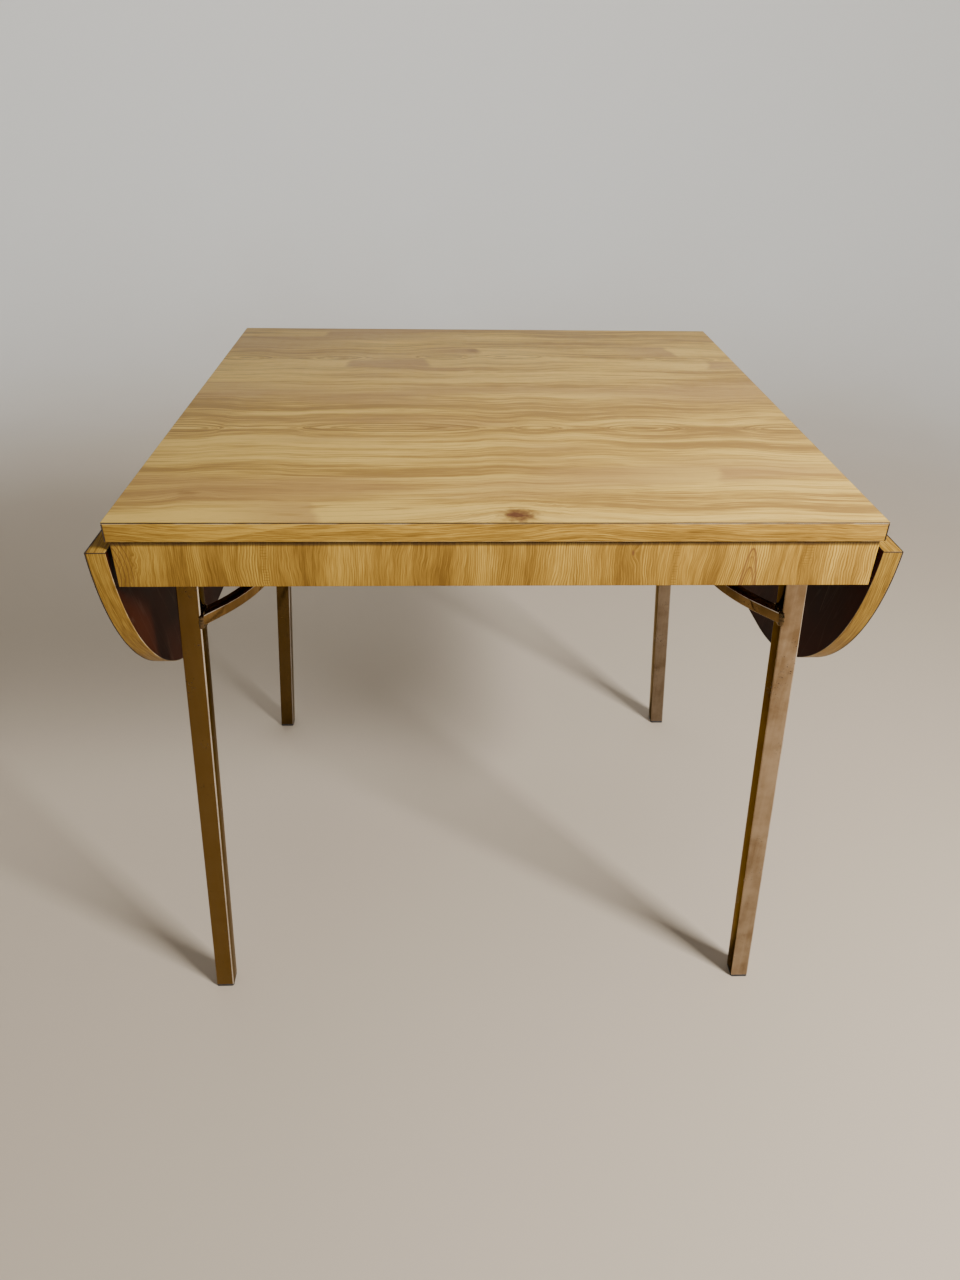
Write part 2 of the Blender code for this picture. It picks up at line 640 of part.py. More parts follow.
def make_bolt(name, side, axis):
    """The slide bolt, its knob, and the guide whose two ears carry it."""
    near_x, far_x = side * (APRON_INNER_X + GUIDE_MARGIN), side * (BOLT_X + EAR_RIM)
    flange_x = side * (APRON_OUTER_X - GUIDE_MARGIN)
    ear_low = BOLT_Z - EAR_RIM
    ends = (EAR_FAR, EAR_NEAR + EAR_THICKNESS)
    shape = bmesh.new()
    add_box(shape, (min(near_x, flange_x), ends[0], GUIDE_TOP - GUIDE_PLATE),
            (max(near_x, flange_x), ends[1], GUIDE_TOP))
    guide = add_piece(name + "_bolt_guide", shape, STEEL)
    shape = bmesh.new()
    for y in (EAR_FAR, EAR_NEAR):
        add_box(shape, (min(near_x, far_x), y, ear_low),
                (max(near_x, far_x), y + EAR_THICKNESS, GUIDE_TOP - GUIDE_PLATE / 2))
    fuse(guide, add_cutter(name + "_ear_guide", shape))
    centre = (side * BOLT_X, BOLT_Z)
    shape = bmesh.new()
    add_rod(shape, centre, BOLT_RADIUS + CLEARANCE, ends[0] - HOLE_PAST, ends[1] + HOLE_PAST)
    cut(guide, add_cutter(name + "_bolt_hole_guide", shape))
    cut(guide, hole_cutter(name + "_guide_holes", guide_seats(side)))
    shape = bmesh.new()
    add_rod(shape, centre, BOLT_RADIUS, KNOB_FACE - KNOB_BORE + CLEARANCE, BOLT_TIP)
    add_piece(name + "_lock_bolt", shape, STEEL, axis, smooth=True)
    ring = circle(1.0, ROUND_STEPS, pi / ROUND_STEPS)
    bore = BOLT_RADIUS + CLEARANCE
    stations = ((bore, KNOB_FACE - KNOB_BORE), (bore, KNOB_FACE), (KNOB_RADIUS, KNOB_FACE),
                (KNOB_RADIUS, KNOB_FACE - KNOB_LENGTH))
    shape = bmesh.new()
    add_loops(shape, [[(centre[0] + a * r, y, centre[1] + b * r) for a, b in ring] for r, y in stations])
    add_piece(name + "_bolt_knob", shape, BLACK_PLASTIC, axis, smooth=True)


def main():
    clear_scene()
    make_top()
    make_aprons()
    make_corner_blocks()
    make_legs()
    make_stretchers()
    for name, side in SIDES.items():
        leaf_axis = add_axis(name + "_leaf_axis", (side * PIN_X, 0.0, PIN_Z))
        bolt_axis = add_axis(name + "_bolt_axis", (side * BOLT_X, BOLT_TIP, BOLT_Z))
        make_leaf(name, side, leaf_axis)
        make_hinges(name, side, leaf_axis)
        make_stay(name, side, leaf_axis)
        make_bolt(name, side, bolt_axis)


main()
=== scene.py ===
"""Looks of a drop-leaf dining table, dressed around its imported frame.

Metres, +Z up, in the frame's own axes: +X points to the right-hand leaf and -Y to the front.
Every finish reads its piece's own coordinates, so the grain stays put when a leaf is raised.
"""
import json
from functools import partialmethod
from math import asin, cos, pi, radians, sin

import bmesh
import bpy
from bpy.props import FloatProperty, FloatVectorProperty, PointerProperty
from bpy.types import NodeSocket, Operator, Panel, PropertyGroup
from mathutils import Matrix, Vector, noise


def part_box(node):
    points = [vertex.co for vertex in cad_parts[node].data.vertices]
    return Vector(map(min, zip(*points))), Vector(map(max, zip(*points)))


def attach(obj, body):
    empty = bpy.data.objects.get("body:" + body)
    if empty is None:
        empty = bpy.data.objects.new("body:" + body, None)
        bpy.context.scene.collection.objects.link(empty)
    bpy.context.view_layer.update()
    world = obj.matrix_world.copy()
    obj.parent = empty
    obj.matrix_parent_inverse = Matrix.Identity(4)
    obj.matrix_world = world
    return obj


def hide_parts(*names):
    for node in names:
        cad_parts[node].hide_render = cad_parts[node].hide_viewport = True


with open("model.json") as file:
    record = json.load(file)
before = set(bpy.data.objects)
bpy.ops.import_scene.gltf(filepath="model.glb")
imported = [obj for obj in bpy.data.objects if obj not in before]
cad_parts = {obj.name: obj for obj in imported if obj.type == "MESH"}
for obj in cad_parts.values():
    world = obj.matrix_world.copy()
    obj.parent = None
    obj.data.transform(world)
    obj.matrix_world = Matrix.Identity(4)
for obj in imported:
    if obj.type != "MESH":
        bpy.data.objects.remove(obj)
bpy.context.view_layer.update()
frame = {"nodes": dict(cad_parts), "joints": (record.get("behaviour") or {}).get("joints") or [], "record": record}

bl_info = {
    "name": "Drop-leaf table",
    "version": (1, 0, 0),
    "blender": (4, 5, 0),
    "location": "3D View > Sidebar > Table",
    "description": "Dresses the frame of a drop-leaf dining table and sets it on a stage",
    "category": "Object",
}

SIDES = {"left": -1, "right": 1}
ENDS = {"front": -1, "back": 1}
CORNERS = {"%s_%s" % (end, side): side for end in ENDS for side in SIDES}
BODIES = {node: body for body, nodes in frame["record"]["behaviour"]["bodies"].items() for node in nodes}
JOINTS = {joint["name"]: joint for joint in frame["joints"]}
PIN_X, _, PIN_Z = JOINTS["right_leaf_hinge"]["pos_m"]


def colour(name, about, value):
    """A colour that the panel shows."""
    return FloatVectorProperty(name=name, description=about, subtype="COLOR", size=3, min=0.0, max=1.0,
                               default=value)


def length(name, about, value):
    """A length that the panel shows."""
    return FloatProperty(name=name, description=about, unit="LENGTH", min=0.0, precision=5, default=value)


def share(name, about, value):
    """A share from none to all that the panel shows."""
    return FloatProperty(name=name, description=about, subtype="FACTOR", min=0.0, max=1.0, default=value)


def angle(name, about, degrees):
    """An angle that the panel shows."""
    return FloatProperty(name=name, description=about, subtype="ANGLE", default=radians(degrees))


def power(name, about, watts):
    """A lamp's power that the panel shows."""
    return FloatProperty(name=name, description=about, unit="POWER", min=0.0, default=watts)


def point(name, about, value):
    """A point that the panel shows."""
    return FloatVectorProperty(name=name, description=about, subtype="XYZ", unit="LENGTH", size=3,
                               default=value)


class TablePrintSettings(PropertyGroup):
    """The printed laminate."""
    straw: colour("Straw", "Lightest bands of the printed top", (0.735, 0.480, 0.120))
    honey: colour("Honey", "Ordinary wood of the printed top", (0.580, 0.357, 0.078))
    umber: colour("Umber", "Darkest bands of the printed top", (0.345, 0.197, 0.050))
    rose: colour("Rose", "Pinkish patches of the printed top", (0.395, 0.224, 0.080))
    knot: colour("Knot", "Heart of the knots", (0.13, 0.05, 0.022))
    amber_light: colour("Light amber", "Lightest bands of aprons and edge strips", (0.53, 0.315, 0.056))
    amber: colour("Amber", "Ordinary wood of aprons and edge strips", (0.35, 0.190, 0.031))
    amber_dark: colour("Dark amber", "Darkest bands of aprons and edge strips", (0.182, 0.090, 0.015))
    cut_edge: colour("Cut edge", "Dark core of the laminate where it is cut", (0.045, 0.024, 0.012))
    worn_arris: colour("Worn arris", "Edges of the strips where the print is rubbed off", (0.58, 0.44, 0.24))
    roughness: share("Roughness", "How dull the satin print is", 0.40)
    gloss: share("Gloss", "How strongly the satin print mirrors", 0.065)
    arris: length("Arris", "Rounding of the cut edges", 0.00035)
    rim_share: share("Rim", "How light the leaves' rims are, against the other strips", 0.82)


class TableBackingSettings(PropertyGroup):
    """The backing sheet, the cores and the hidden wood."""
    brown: colour("Brown", "Backing sheet of leaves and top", (0.020, 0.0032, 0.0005))
    brown_light: colour("Light brown", "Cloudy parts of the backing sheet", (0.042, 0.0075, 0.0012))
    # The same colour paints a reflection of a leg's edge on the right leaf's underside
    scuffs_and_glint: colour("Scuff", "Scuffs and scratches of the backing sheet", (0.105, 0.066, 0.046))
    chip_light: colour("Light chips", "Pale chips of the board", (0.42, 0.285, 0.150))
    chip_dark: colour("Dark chips", "Dark chips of the board", (0.22, 0.130, 0.062))
    block_light: colour("Light block wood", "Early wood of the corner blocks", (0.62, 0.44, 0.245))
    block_dark: colour("Dark block wood", "Late wood of the corner blocks", (0.43, 0.26, 0.115))
    block_round: length("Block rounding", "Rounding of the wooden parts' edges", 0.0008)


class TableMetalSettings(PropertyGroup):
    """The chrome, the plated steel and the plastic."""
    # Painted reflection: the chrome colours are brown to stand for a brown floor mirrored in them, and the tarnish
    # clouds are film
    chrome: colour("Chrome", "Chrome under a thin brown film", (0.376, 0.282, 0.188))
    tarnish_and_reflection: colour("Tarnish", "Chrome under a thick brown film", (0.200, 0.130, 0.068))
    # Painted shade: the left legs' chrome darker
    left_shade: colour("Left film", "Chrome of the left legs, under the thickest film", (0.160, 0.090, 0.020))
    # Painted shade: the back legs' chrome darker by this factor
    back_shade: colour("Back film", "What the film on the back legs leaves of the colour", (0.62, 0.63, 0.66))
    # Painted shade: the legs' inner sides darker, and at a low angle too; the darker colour is also the weld's
    # film
    inner: colour("Inner chrome", "Chrome on the legs' inner sides, seldom wiped", (0.150, 0.104, 0.056))
    deep_shade_and_weld_film: colour("Dark inner chrome", "The same under a thick film", (0.085, 0.054, 0.024))
    # Painted reflection: the stretchers' brown stands for a brown floor mirrored in them
    bronze_reflection: colour("Bronze film", "Chrome of the stretchers, brown from heat", (0.270, 0.165, 0.062))
    bronze_reflection_dark: colour("Dark bronze film", "The same where the film is thick", (0.130, 0.075, 0.024))
    # Painted highlight: the tubes' corners brighter than their faces
    corner_highlight: colour("Rubbed chrome", "Corners that are rubbed bright", (0.76, 0.71, 0.64))
    corner_highlight_dull: colour("Dull rubbed chrome", "Corners that are rubbed less", (0.50, 0.43, 0.35))
    edge_tint: colour("Edge tint", "What the film leaves of the shine at a low angle", (0.84, 0.75, 0.61))
    inner_shade_tint: colour("Inner edge tint", "The same on the legs' inner sides", (0.54, 0.44, 0.31))
    rust: colour("Rust", "Specks where the chrome is through", (0.045, 0.018, 0.007))
    zinc: colour("Zinc", "Plated steel", (0.50, 0.495, 0.475))
    zinc_dull: colour("Dull zinc", "Plated steel where it has gone dull", (0.33, 0.325, 0.31))
    plastic: colour("Plastic", "Glides and knobs", (0.013, 0.013, 0.0135))
    leg_round: length("Leg rounding", "Corner radius of the leg tubes", 0.0014)
    leg_wall: length("Leg wall", "Wall of the leg tubes", 0.0015)
    stretcher_round: length("Stretcher rounding", "Corner radius of the stretcher tubes", 0.002)
    stretcher_wall: length("Stretcher wall", "Wall of the stretcher tubes", 0.0012)
    stretcher_stub: length("Stretcher stub", "Straight run from the leg to the bend", 0.020)
    stretcher_bend: length("Stretcher bend", "Radius of the stretcher's bend", 0.200)
    stretcher_angle: angle("Stretcher angle", "Between the stretcher's end and the table's length", 38.0)
    weld: length("Weld", "Radius of the weld beads", 0.0030)
    plate_round: length("Plate rounding", "Rounding of the steel plates' edges", 0.0003)
    screw_head: length("Screw head", "Radius of the screw heads", 0.0034)


class TableStageSettings(PropertyGroup):
    """Floor, light and camera."""
    floor: colour("Floor", "Plain pale floor", (0.60, 0.50, 0.385))
    backdrop: colour("Backdrop", "Plain pale cove round the floor", (0.93, 0.925, 0.895))
    air: colour("Air", "Light from all round", (1.0, 0.985, 0.96))
    air_strength: FloatProperty(name="Air strength", description="Strength of the light from all round",
                                min=0.0, default=0.10)
    key_power: power("Key light", "Power of the main light", 118.0)
    key_size: length("Key size", "Side of the main light", 0.6)
    key_place: point("Key place", "Where the main light hangs", (1.60, -1.62, 1.90))
    top_power: power("Top light", "Power of the soft light overhead", 5.0)
    top_size: length("Top size", "Side of the soft light overhead", 2.4)
    top_height: length("Top height", "Height of the soft light overhead", 3.2)
    back_power: power("Backdrop light", "Power of the light on the cove behind", 28.0)
    back_size: length("Backdrop light size", "Side of the light on the cove behind", 2.0)
    focal: length("Focal length", "Of the camera, for a frame of 36 mm on its long side", 0.02559)
    yaw: angle("Yaw", "Turn of the camera to the right", 2.4597)
    pitch: angle("Pitch", "Tilt of the camera down", 32.1609)
    roll: angle("Roll", "Lean of the camera", -1.018)
    place: point("Place", "Where the camera stands", (-0.0530, -1.1806, 1.1320))


class Finish:
    """A material being made, with short calls for the nodes that the finishes share."""

    def __init__(self, name):
        self.material = bpy.data.materials.new(name)
        self.material.use_nodes = True
        self.tree = self.material.node_tree
        self.shader = self.tree.nodes["Principled BSDF"]
        self.place = self.add("TexCoord").outputs["Object"]
        split = self.add("SeparateXYZ")
        self.put(split.inputs[0], self.place)
        self.x, self.y, self.z = split.outputs

    def add(self, kind, **settings):
        """A new node with its settings."""
        node = self.tree.nodes.new("ShaderNode" + kind)
        for name, value in settings.items():
            setattr(node, name, value)
        return node

    def put(self, socket, value):
        """Link a socket, or set its value."""
        if isinstance(value, NodeSocket):
            self.tree.links.new(value, socket)
        elif socket.type == "RGBA":
            socket.default_value = (*value[:3], 1.0)
        else:
            socket.default_value = value

    def fill(self, node, *values):
        """Fill a node's first inputs, and give its first output."""
        for socket, value in zip(node.inputs, values):
            self.put(socket, value)
        return node.outputs[0]

    def math(self, operation, *values):
        """A Math node."""
        return self.fill(self.add("Math", operation=operation), *values)

    # Short names for usual sums; scaled is a value times a factor, added to a start
    plus, minus = partialmethod(math, "ADD"), partialmethod(math, "SUBTRACT")
    times, over = partialmethod(math, "MULTIPLY"), partialmethod(math, "DIVIDE")
    most, scaled = partialmethod(math, "MAXIMUM"), partialmethod(math, "MULTIPLY_ADD")

    def off(self, first, second):
        """How far one value is from another."""
        return self.math("ABSOLUTE", self.minus(first, second))

    def far(self, first, second):
        """How far a point is from a middle, from its distances along two axes."""
        return self.math("SQRT", self.scaled(first, first, self.times(second, second)))

    def stretched(self, along, across, per_along, per_across, seed):
        """Coordinates for a texture that is drawn out along the grain."""
        return self.fill(self.add("CombineXYZ"), self.times(along, per_along),
                         self.times(across, per_across), seed)

    def noise(self, vector, scale=1.0, detail=2.0, roughness=0.5):
        """Soft noise around one half."""
        node = self.add("TexNoise")
        self.put(node.inputs["Vector"], vector)
        node.inputs["Scale"].default_value = scale
        node.inputs["Detail"].default_value = detail
        node.inputs["Roughness"].default_value = roughness
        return node.outputs[0]

    def swing(self, vector, scale=1.0, detail=2.0):
        """Soft noise around zero."""
        return self.minus(self.noise(vector, scale, detail), 0.5)

    def cells(self, scale):
        """Distance to the nearest of many scattered points, and a number for each point."""
        node = self.add("TexVoronoi")
        self.put(node.inputs["Vector"], self.place)
        node.inputs["Scale"].default_value = scale
        return node.outputs["Distance"], self.fill(self.add("SeparateColor"), node.outputs["Color"])

    def step(self, value, low, high, start=0.0, end=1.0, kind="SMOOTHSTEP"):
        """A step of a value between two limits."""
        return self.fill(self.add("MapRange", interpolation_type=kind), value, low, high, start, end)

    def curve(self, value, span, points, full):
        """A smooth curve through points of (place, height), for a value within a span."""
        node = self.add("FloatCurve")
        self.put(node.inputs["Value"], self.step(value, *span, kind="LINEAR"))
        line = node.mapping.curves[0]
        placed = [((place - span[0]) / (span[1] - span[0]), height / full) for place, height in points]
        for number, (place, height) in enumerate(placed):
            if number < 2:
                line.points[number].location = (place, height)
            else:
                line.points.new(place, height)
        node.mapping.update()
        return self.times(node.outputs[0], full)

    def mix(self, factor, first, second, blend="MIX"):
        """A mix of two colours."""
        node = self.add("Mix", data_type="RGBA", blend_type=blend)
        self.put(node.inputs[0], factor)
        self.put(node.inputs[6], first)
        self.put(node.inputs[7], second)
        return node.outputs[2]

    def lay(self, shade, coat, mask, strength=None):
        """A shade with a coat laid over it where a mask is."""
        return self.mix(mask if strength is None else self.times(mask, strength), shade, coat)

    def ramp(self, value, places, shades):
        """A colour for a value, from shades at places."""
        node = self.add("ValToRGB")
        elements = node.color_ramp.elements
        while len(elements) < len(shades):
            elements.new(0.5)
        for element, place, shade in zip(elements, places, shades):
            element.position = place
            element.color = (*shade, 1.0)
        return self.fill(node, value)

    def bump(self, height, distance):
        """Relief from a height, on the shader."""
        node = self.add("Bump")
        node.inputs["Strength"].default_value = 1.0
        node.inputs["Distance"].default_value = distance
        self.put(node.inputs["Height"], height)
        self.put(self.shader.inputs["Normal"], node.outputs[0])

    def surface(self, **values):
        """Set the shader's sockets by name, with _ for a space."""
        for name, value in values.items():
            self.put(self.shader.inputs[name.replace("_", " ").title().replace("Ior", "IOR")], value)
        return self.material


def toned(shade, factor):
    """A colour made lighter or darker."""
    return [factor * value for value in shade]


# Grain that the prints share. A grain is (per metre along, per metre across), and a seed picks a place
# in the noise. A step is the two values between which a mask rises, and may add its lowest and highest
BAND_SEED, LINE_SEED, PORE_SEED = 3.0, 21.0, 8.0
BAND_SHIFT = 1.7
LINE_CORE = 0.3
THIN_CORE, THIN_PATCH, THIN_STEP = 0.25, (0.6, 0.15), (0.42, 0.62)
PATCH_SEED = 0.5
COMB_DRIFT, COMB_SWING, COMB_PATCH = (14.0, 45.0), 9.0, (5.0, 22.0)
COMB_LINE, COMB_STEP = (0.0, 0.9), (0.38, 0.60, 0.15, 1.0)
PORE_GRAIN, PORE_STEP = (60.0, 1500.0), (0.56, 0.72)
PORE_DEPTH, PORE_DULL = 0.00006, 0.10
SMEAR_SCALE, SMEAR_DETAIL, SMEAR_DULL = 9.0, 3.0, 0.14
KNOT_GRAIN, KNOT_SEED, KNOT_WOBBLE = (120.0, 120.0), 3.0, 1.1
KNOT_NEAR, KNOT_STEP = 3.0, (1.2, 0.6)
KNOT_RINGS, KNOT_PHASE, KNOT_PALE = 4.0, 1.0, 0.22


def ring_field(f, along, across, seed, waves):
    """Across the grain, bent by waves of (height, *grain): equal values follow one growth ring."""
    field = across
    for number, (height, per_along, per_across) in enumerate(waves):
        wave = f.swing(f.stretched(along, across, per_along, per_across, seed + number))
        field = f.scaled(wave, height, field)
    return field


def bend_round_knots(f, along, across, field, knots):
    """The ring field pushed aside by knots, and a mask of their dark hearts."""
    wobble = f.times(f.swing(f.stretched(along, across, *KNOT_GRAIN, KNOT_SEED)), KNOT_WOBBLE)
    dark = 0.0
    for middle_along, middle_across, half_length, half_width, push, darkness in knots:
        reach = f.far(f.over(f.minus(along, middle_along), half_length),
                      f.over(f.minus(across, middle_across), half_width))
        reach = f.plus(reach, wobble)
        near = f.over(reach, KNOT_NEAR)
        bell = f.math("EXPONENT", f.times(f.times(near, near), -1.0))
        field = f.scaled(bell, push, field)
        rings = f.math("SINE", f.scaled(reach, KNOT_RINGS, KNOT_PHASE))
        rings = f.scaled(rings, KNOT_PALE, 1 - KNOT_PALE)
        dark = f.most(dark, f.times(rings, f.step(reach, *KNOT_STEP, 0.0, darkness)))
    return field, dark


def grain(f, along, field, seed, bands):
    """Tone of long tapering bands of (*grain, weight)."""
    tone = 0.5
    for number, (per_along, per_across, weight) in enumerate(bands):
        vector = f.stretched(along, field, per_along, per_across, f.plus(seed, BAND_SHIFT * number))
        tone = f.scaled(f.swing(vector), weight, tone)
    return tone


def thin_lines(f, along, field, seed, per_along, per_across, width):
    """Thin lines along the grain, in patches."""
    wave = f.swing(f.stretched(along, field, per_along, per_across, seed), detail=1.0)
    line = f.step(f.math("ABSOLUTE", wave), width, THIN_CORE * width)
    patch = f.noise(f.stretched(along, field, THIN_PATCH[0] * per_along, THIN_PATCH[1] * per_across,
                                seed + PATCH_SEED))
    return f.times(line, f.step(patch, *THIN_STEP))


def combed_lines(f, along, field, pitch, seed):
    """Fine wavy lines along the grain at an even pitch, in patches."""
    drift = f.noise(f.stretched(along, field, *COMB_DRIFT, seed))
    phase = f.scaled(drift, COMB_SWING, f.times(field, 2 * pi / pitch))
    patch = f.noise(f.stretched(along, field, *COMB_PATCH, seed + PATCH_SEED))
    return f.times(f.step(f.math("SINE", phase), *COMB_LINE), f.step(patch, *COMB_STEP))


def pores(f, along, across, seed):
    """Short dark pores along the grain."""
    return f.step(f.noise(f.stretched(along, across, *PORE_GRAIN, seed), detail=1.0), *PORE_STEP)


def satin(f, shade, pore, settings):
    """Set the printed laminate's gloss and fine relief."""
    dull = f.scaled(f.swing(f.place, SMEAR_SCALE, SMEAR_DETAIL), SMEAR_DULL, settings.roughness)
    f.bump(f.times(pore, -1.0), PORE_DEPTH)
    return f.surface(base_color=shade, roughness=f.scaled(pore, PORE_DULL, dull),
                     specular_ior_level=settings.gloss)


# The top's print: waves of its rings, its bands and thin lines, and its patches of rose
TOP_SEED = 2.0
TOP_WAVES = ((0.060, 1.3, 3.0), (0.011, 4.5, 12.0), (0.003, 16.0, 60.0))
TOP_BANDS = ((1.3, 17.0, 1.15), (2.4, 52.0, 1.25), (5.5, 170.0, 0.85), (13.0, 520.0, 1.05),
             (40.0, 1500.0, 0.80))
TOP_RAMP = (0.24, 0.50, 0.76)
TOP_LINES, TOP_LINE_SHARE = (2.4, 80.0, 0.028), 0.55
TOP_PORE_SHARE = 0.30
ROSE_GRAIN, ROSE_SEED, ROSE_STEP = (2.0, 9.0), 11.0, (0.48, 0.66, 0.0, 0.65)
WOBBLE_GRAIN, WOBBLE_SEED = (20.0, 60.0), 14.0

# Heart lines of its two printed boards: place across the grain, and (place along, depth under the face)
FRONT_HEART, FRONT_SEEDS = -0.107, (4.0, 6.0)
FRONT_DEPTHS = (
    (-0.64, 0.020), (-0.54, 0.005), (-0.46, 0.021), (-0.375, 0.004), (-0.315, 0.019), (-0.26, 0.022),
    (-0.222, 0.015), (-0.170, 0.006), (-0.118, 0.002), (-0.066, 0.006), (-0.015, 0.015), (0.012, 0.021),
    (0.055, 0.012), (0.11, 0.022), (0.19, 0.007), (0.275, 0.022), (0.365, 0.004), (0.46, 0.021),
    (0.54, 0.008), (0.64, 0.020))
BACK_HEART, BACK_SEEDS = 0.202, (0.0, 2.0)
BACK_DEPTHS = (
    (-0.64, 0.020), (-0.50, 0.006), (-0.42, 0.021), (-0.35, 0.008), (-0.28, 0.022), (-0.205, 0.011),
    (-0.15, 0.022), (-0.10, 0.018), (-0.048, 0.003), (-0.005, 0.015), (0.03, 0.009), (0.08, 0.013),
    (0.14, 0.022), (0.24, 0.021), (0.305, 0.011), (0.38, 0.020), (0.46, 0.021), (0.55, 0.007),
    (0.64, 0.020))
DEPTH_FULL = 0.025
BOARD_SPAN = (-0.64, 0.64)
BOARD_MEET, BOARD_BLEND = 0.05, 0.06
HEART_BLEND = 0.018

# Rings round the hearts' eyes
EYE_REACH, EYE_FADE, EYE_SHARE = 0.027, 0.6, 0.68
EYE_PITCH = 0.0080
EYE_WIDTHS = (0.0024, 0.0030)
EYE_ENDS = 0.14
EYE_WOBBLE = 0.006
EYE_POINT = 1.35
EYE_DARK = 0.72

# Pale patches with a dark side: edge along, direction, middle across, half height, pale and dark share
PATCHES = ((-0.187, 1, -0.362, 0.036, 0.85, 0.60), (-0.008, 1, 0.245, 0.022, 0.85, 0.80),
           (0.290, 1, 0.246, 0.038, 0.80, 0.70), (0.342, -1, 0.170, 0.030, 0.75, 0.70),
           (-0.190, -1, 0.172, 0.026, 0.80, 0.75), (0.250, -1, -0.262, 0.030, 0.55, 0.30),
           (-0.240, -1, 0.345, 0.020, 0.60, 0.50), (-0.085, 1, 0.178, 0.030, 0.70, 0.65))
PATCH_EDGE, PATCH_FADE, PATCH_BEHIND = 0.011, 0.17, 0.12
PATCH_CORE, PATCH_LEAN, PATCH_WOBBLE = 0.4, 0.22, 0.016

# Knots: along, across, half length, half width, how far the rings bend round them, darkness
KNOTS = ((0.018, -0.3640, 0.0205, 0.0175, 0.014, 1.0), (-0.316, -0.309, 0.013, 0.006, 0.010, 0.35),
         (-0.012, 0.247, 0.009, 0.011, 0.012, 0.45), (-0.205, 0.198, 0.013, 0.007, 0.010, 0.40))


def heart_field(f, along, field, heart, depths):
    """Distance of the face from a board's heart, which rises and sinks along it: eyes and arches."""
    depth = f.curve(along, BOARD_SPAN, depths, DEPTH_FULL)
    powers = [f.math("POWER", value, EYE_POINT) for value in (f.off(field, heart), depth)]
    return f.math("POWER", f.plus(*powers), 1 / EYE_POINT)


def eye_rings(f, field, heart, reach, wobble, line_width):
    """Dark rings round a board's eyes, as thin at the eyes' ends as at their sides."""
    slope = f.math("POWER", f.over(f.off(field, heart), reach), EYE_POINT - 1)
    width = f.times(f.most(slope, EYE_ENDS), line_width)
    off = f.math("PINGPONG", f.scaled(wobble, EYE_WOBBLE, reach), EYE_PITCH / 2)
    line = f.step(f.over(off, width), 1.0, LINE_CORE)
    return f.times(line, f.step(reach, EYE_REACH, EYE_FADE * EYE_REACH, 0.0, EYE_SHARE))


def pale_patches(f, shade, along, across, wobble, settings):
    """A shade with pale patches, each with a dark side behind its edge."""
    for edge, way, middle, half, pale, deep in PATCHES:
        off = f.minus(across, middle)
        run = f.scaled(off, PATCH_LEAN, f.times(f.minus(along, edge), way))
        run = f.scaled(wobble, PATCH_WOBBLE, run)
        off = f.math("ABSOLUTE", f.scaled(wobble, PATCH_WOBBLE, off))
        height = f.step(off, half, PATCH_CORE * half)
        ahead = f.times(f.step(run, 0.0, PATCH_EDGE), f.step(run, PATCH_FADE, PATCH_EDGE, 0.0, pale))
        behind = f.times(f.step(run, PATCH_EDGE, 0.0), f.step(run, -PATCH_BEHIND, 0.0, 0.0, deep))
        shade = f.lay(shade, settings.straw, ahead, height)
        shade = f.lay(shade, settings.rose, behind, height)
    return shade


def board_print(name, settings, along_of):
    """The top's print; along_of gives the place along the grain from the finish's coordinates."""
    f = Finish(name)
    along, across = along_of(f), f.y
    field = ring_field(f, along, across, TOP_SEED, TOP_WAVES)
    front = heart_field(f, along, field, FRONT_HEART, FRONT_DEPTHS)
    back = heart_field(f, along, field, BACK_HEART, BACK_DEPTHS)
    onward = f.minus(BACK_HEART - FRONT_HEART, back)
    part = f.step(field, BOARD_MEET - BOARD_BLEND, BOARD_MEET + BOARD_BLEND)
    rings = f.scaled(part, f.minus(onward, front), front)
    rings, dark = bend_round_knots(f, along, across, rings, KNOTS)
    seed = f.plus(f.step(field, FRONT_HEART - HEART_BLEND, FRONT_HEART + HEART_BLEND, *FRONT_SEEDS),
                  f.step(field, BACK_HEART - HEART_BLEND, BACK_HEART + HEART_BLEND, *BACK_SEEDS))
    tone = grain(f, along, rings, seed, TOP_BANDS)
    shade = f.ramp(tone, TOP_RAMP, (settings.umber, settings.honey, settings.straw))
    rose = f.step(f.noise(f.stretched(along, across, *ROSE_GRAIN, ROSE_SEED)), *ROSE_STEP)
    shade = f.lay(shade, settings.rose, rose)
    wobble = f.swing(f.stretched(along, across, *WOBBLE_GRAIN, WOBBLE_SEED))
    shade = pale_patches(f, shade, along, across, wobble, settings)
    line = thin_lines(f, along, rings, LINE_SEED, *TOP_LINES)
    shade = f.lay(shade, settings.umber, line, TOP_LINE_SHARE)
    for heart, reach, width in zip((FRONT_HEART, BACK_HEART), (front, back), EYE_WIDTHS):
        eyes = eye_rings(f, field, heart, reach, wobble, width)
        shade = f.lay(shade, toned(settings.umber, EYE_DARK), eyes)
    pore = pores(f, along, across, PORE_SEED)
    shade = f.lay(shade, settings.umber, pore, TOP_PORE_SHARE)
    shade = f.lay(shade, settings.knot, dark)
    return satin(f, shade, pore, settings)


# The strips' print: waves of their rings, wide streaks, fine fibres and thin lines
RUN = "run"
STRIP_WAVES = ((0.080, 2.2, 4.0), (0.004, 16.0, 60.0))
STRIP_STREAKS = ((2.0, 30.0, 0.8), (9.0, 300.0, 0.85))
STRIP_FIBRES = ((22.0, 900.0, 1.0), (55.0, 2200.0, 0.8))
STRIP_LINES, STRIP_LINE_SHARE = (9.0, 320.0, 0.05), 0.45
STRIP_PORE_SHARE = 0.40
AMBER_RAMP = (0.22, 0.50, 0.78)

# A slanting ring on the front and back strips: its foot, its slope, and how far and how much it
# lightens what is above it and darkens what is below
SWEEP_FOOT, SWEEP_SLOPE, SWEEP_EDGE = (-0.294, 0.741), 0.18, 0.0007
SWEEP_ABOVE, SWEEP_PALE = 0.012, 0.20
SWEEP_BELOW, SWEEP_DEEP = 0.009, 0.12


def run_along(f):
    """The way along a rim strip, which its mesh carries."""
    return f.add("Attribute", attribute_name=RUN).outputs["Fac"]


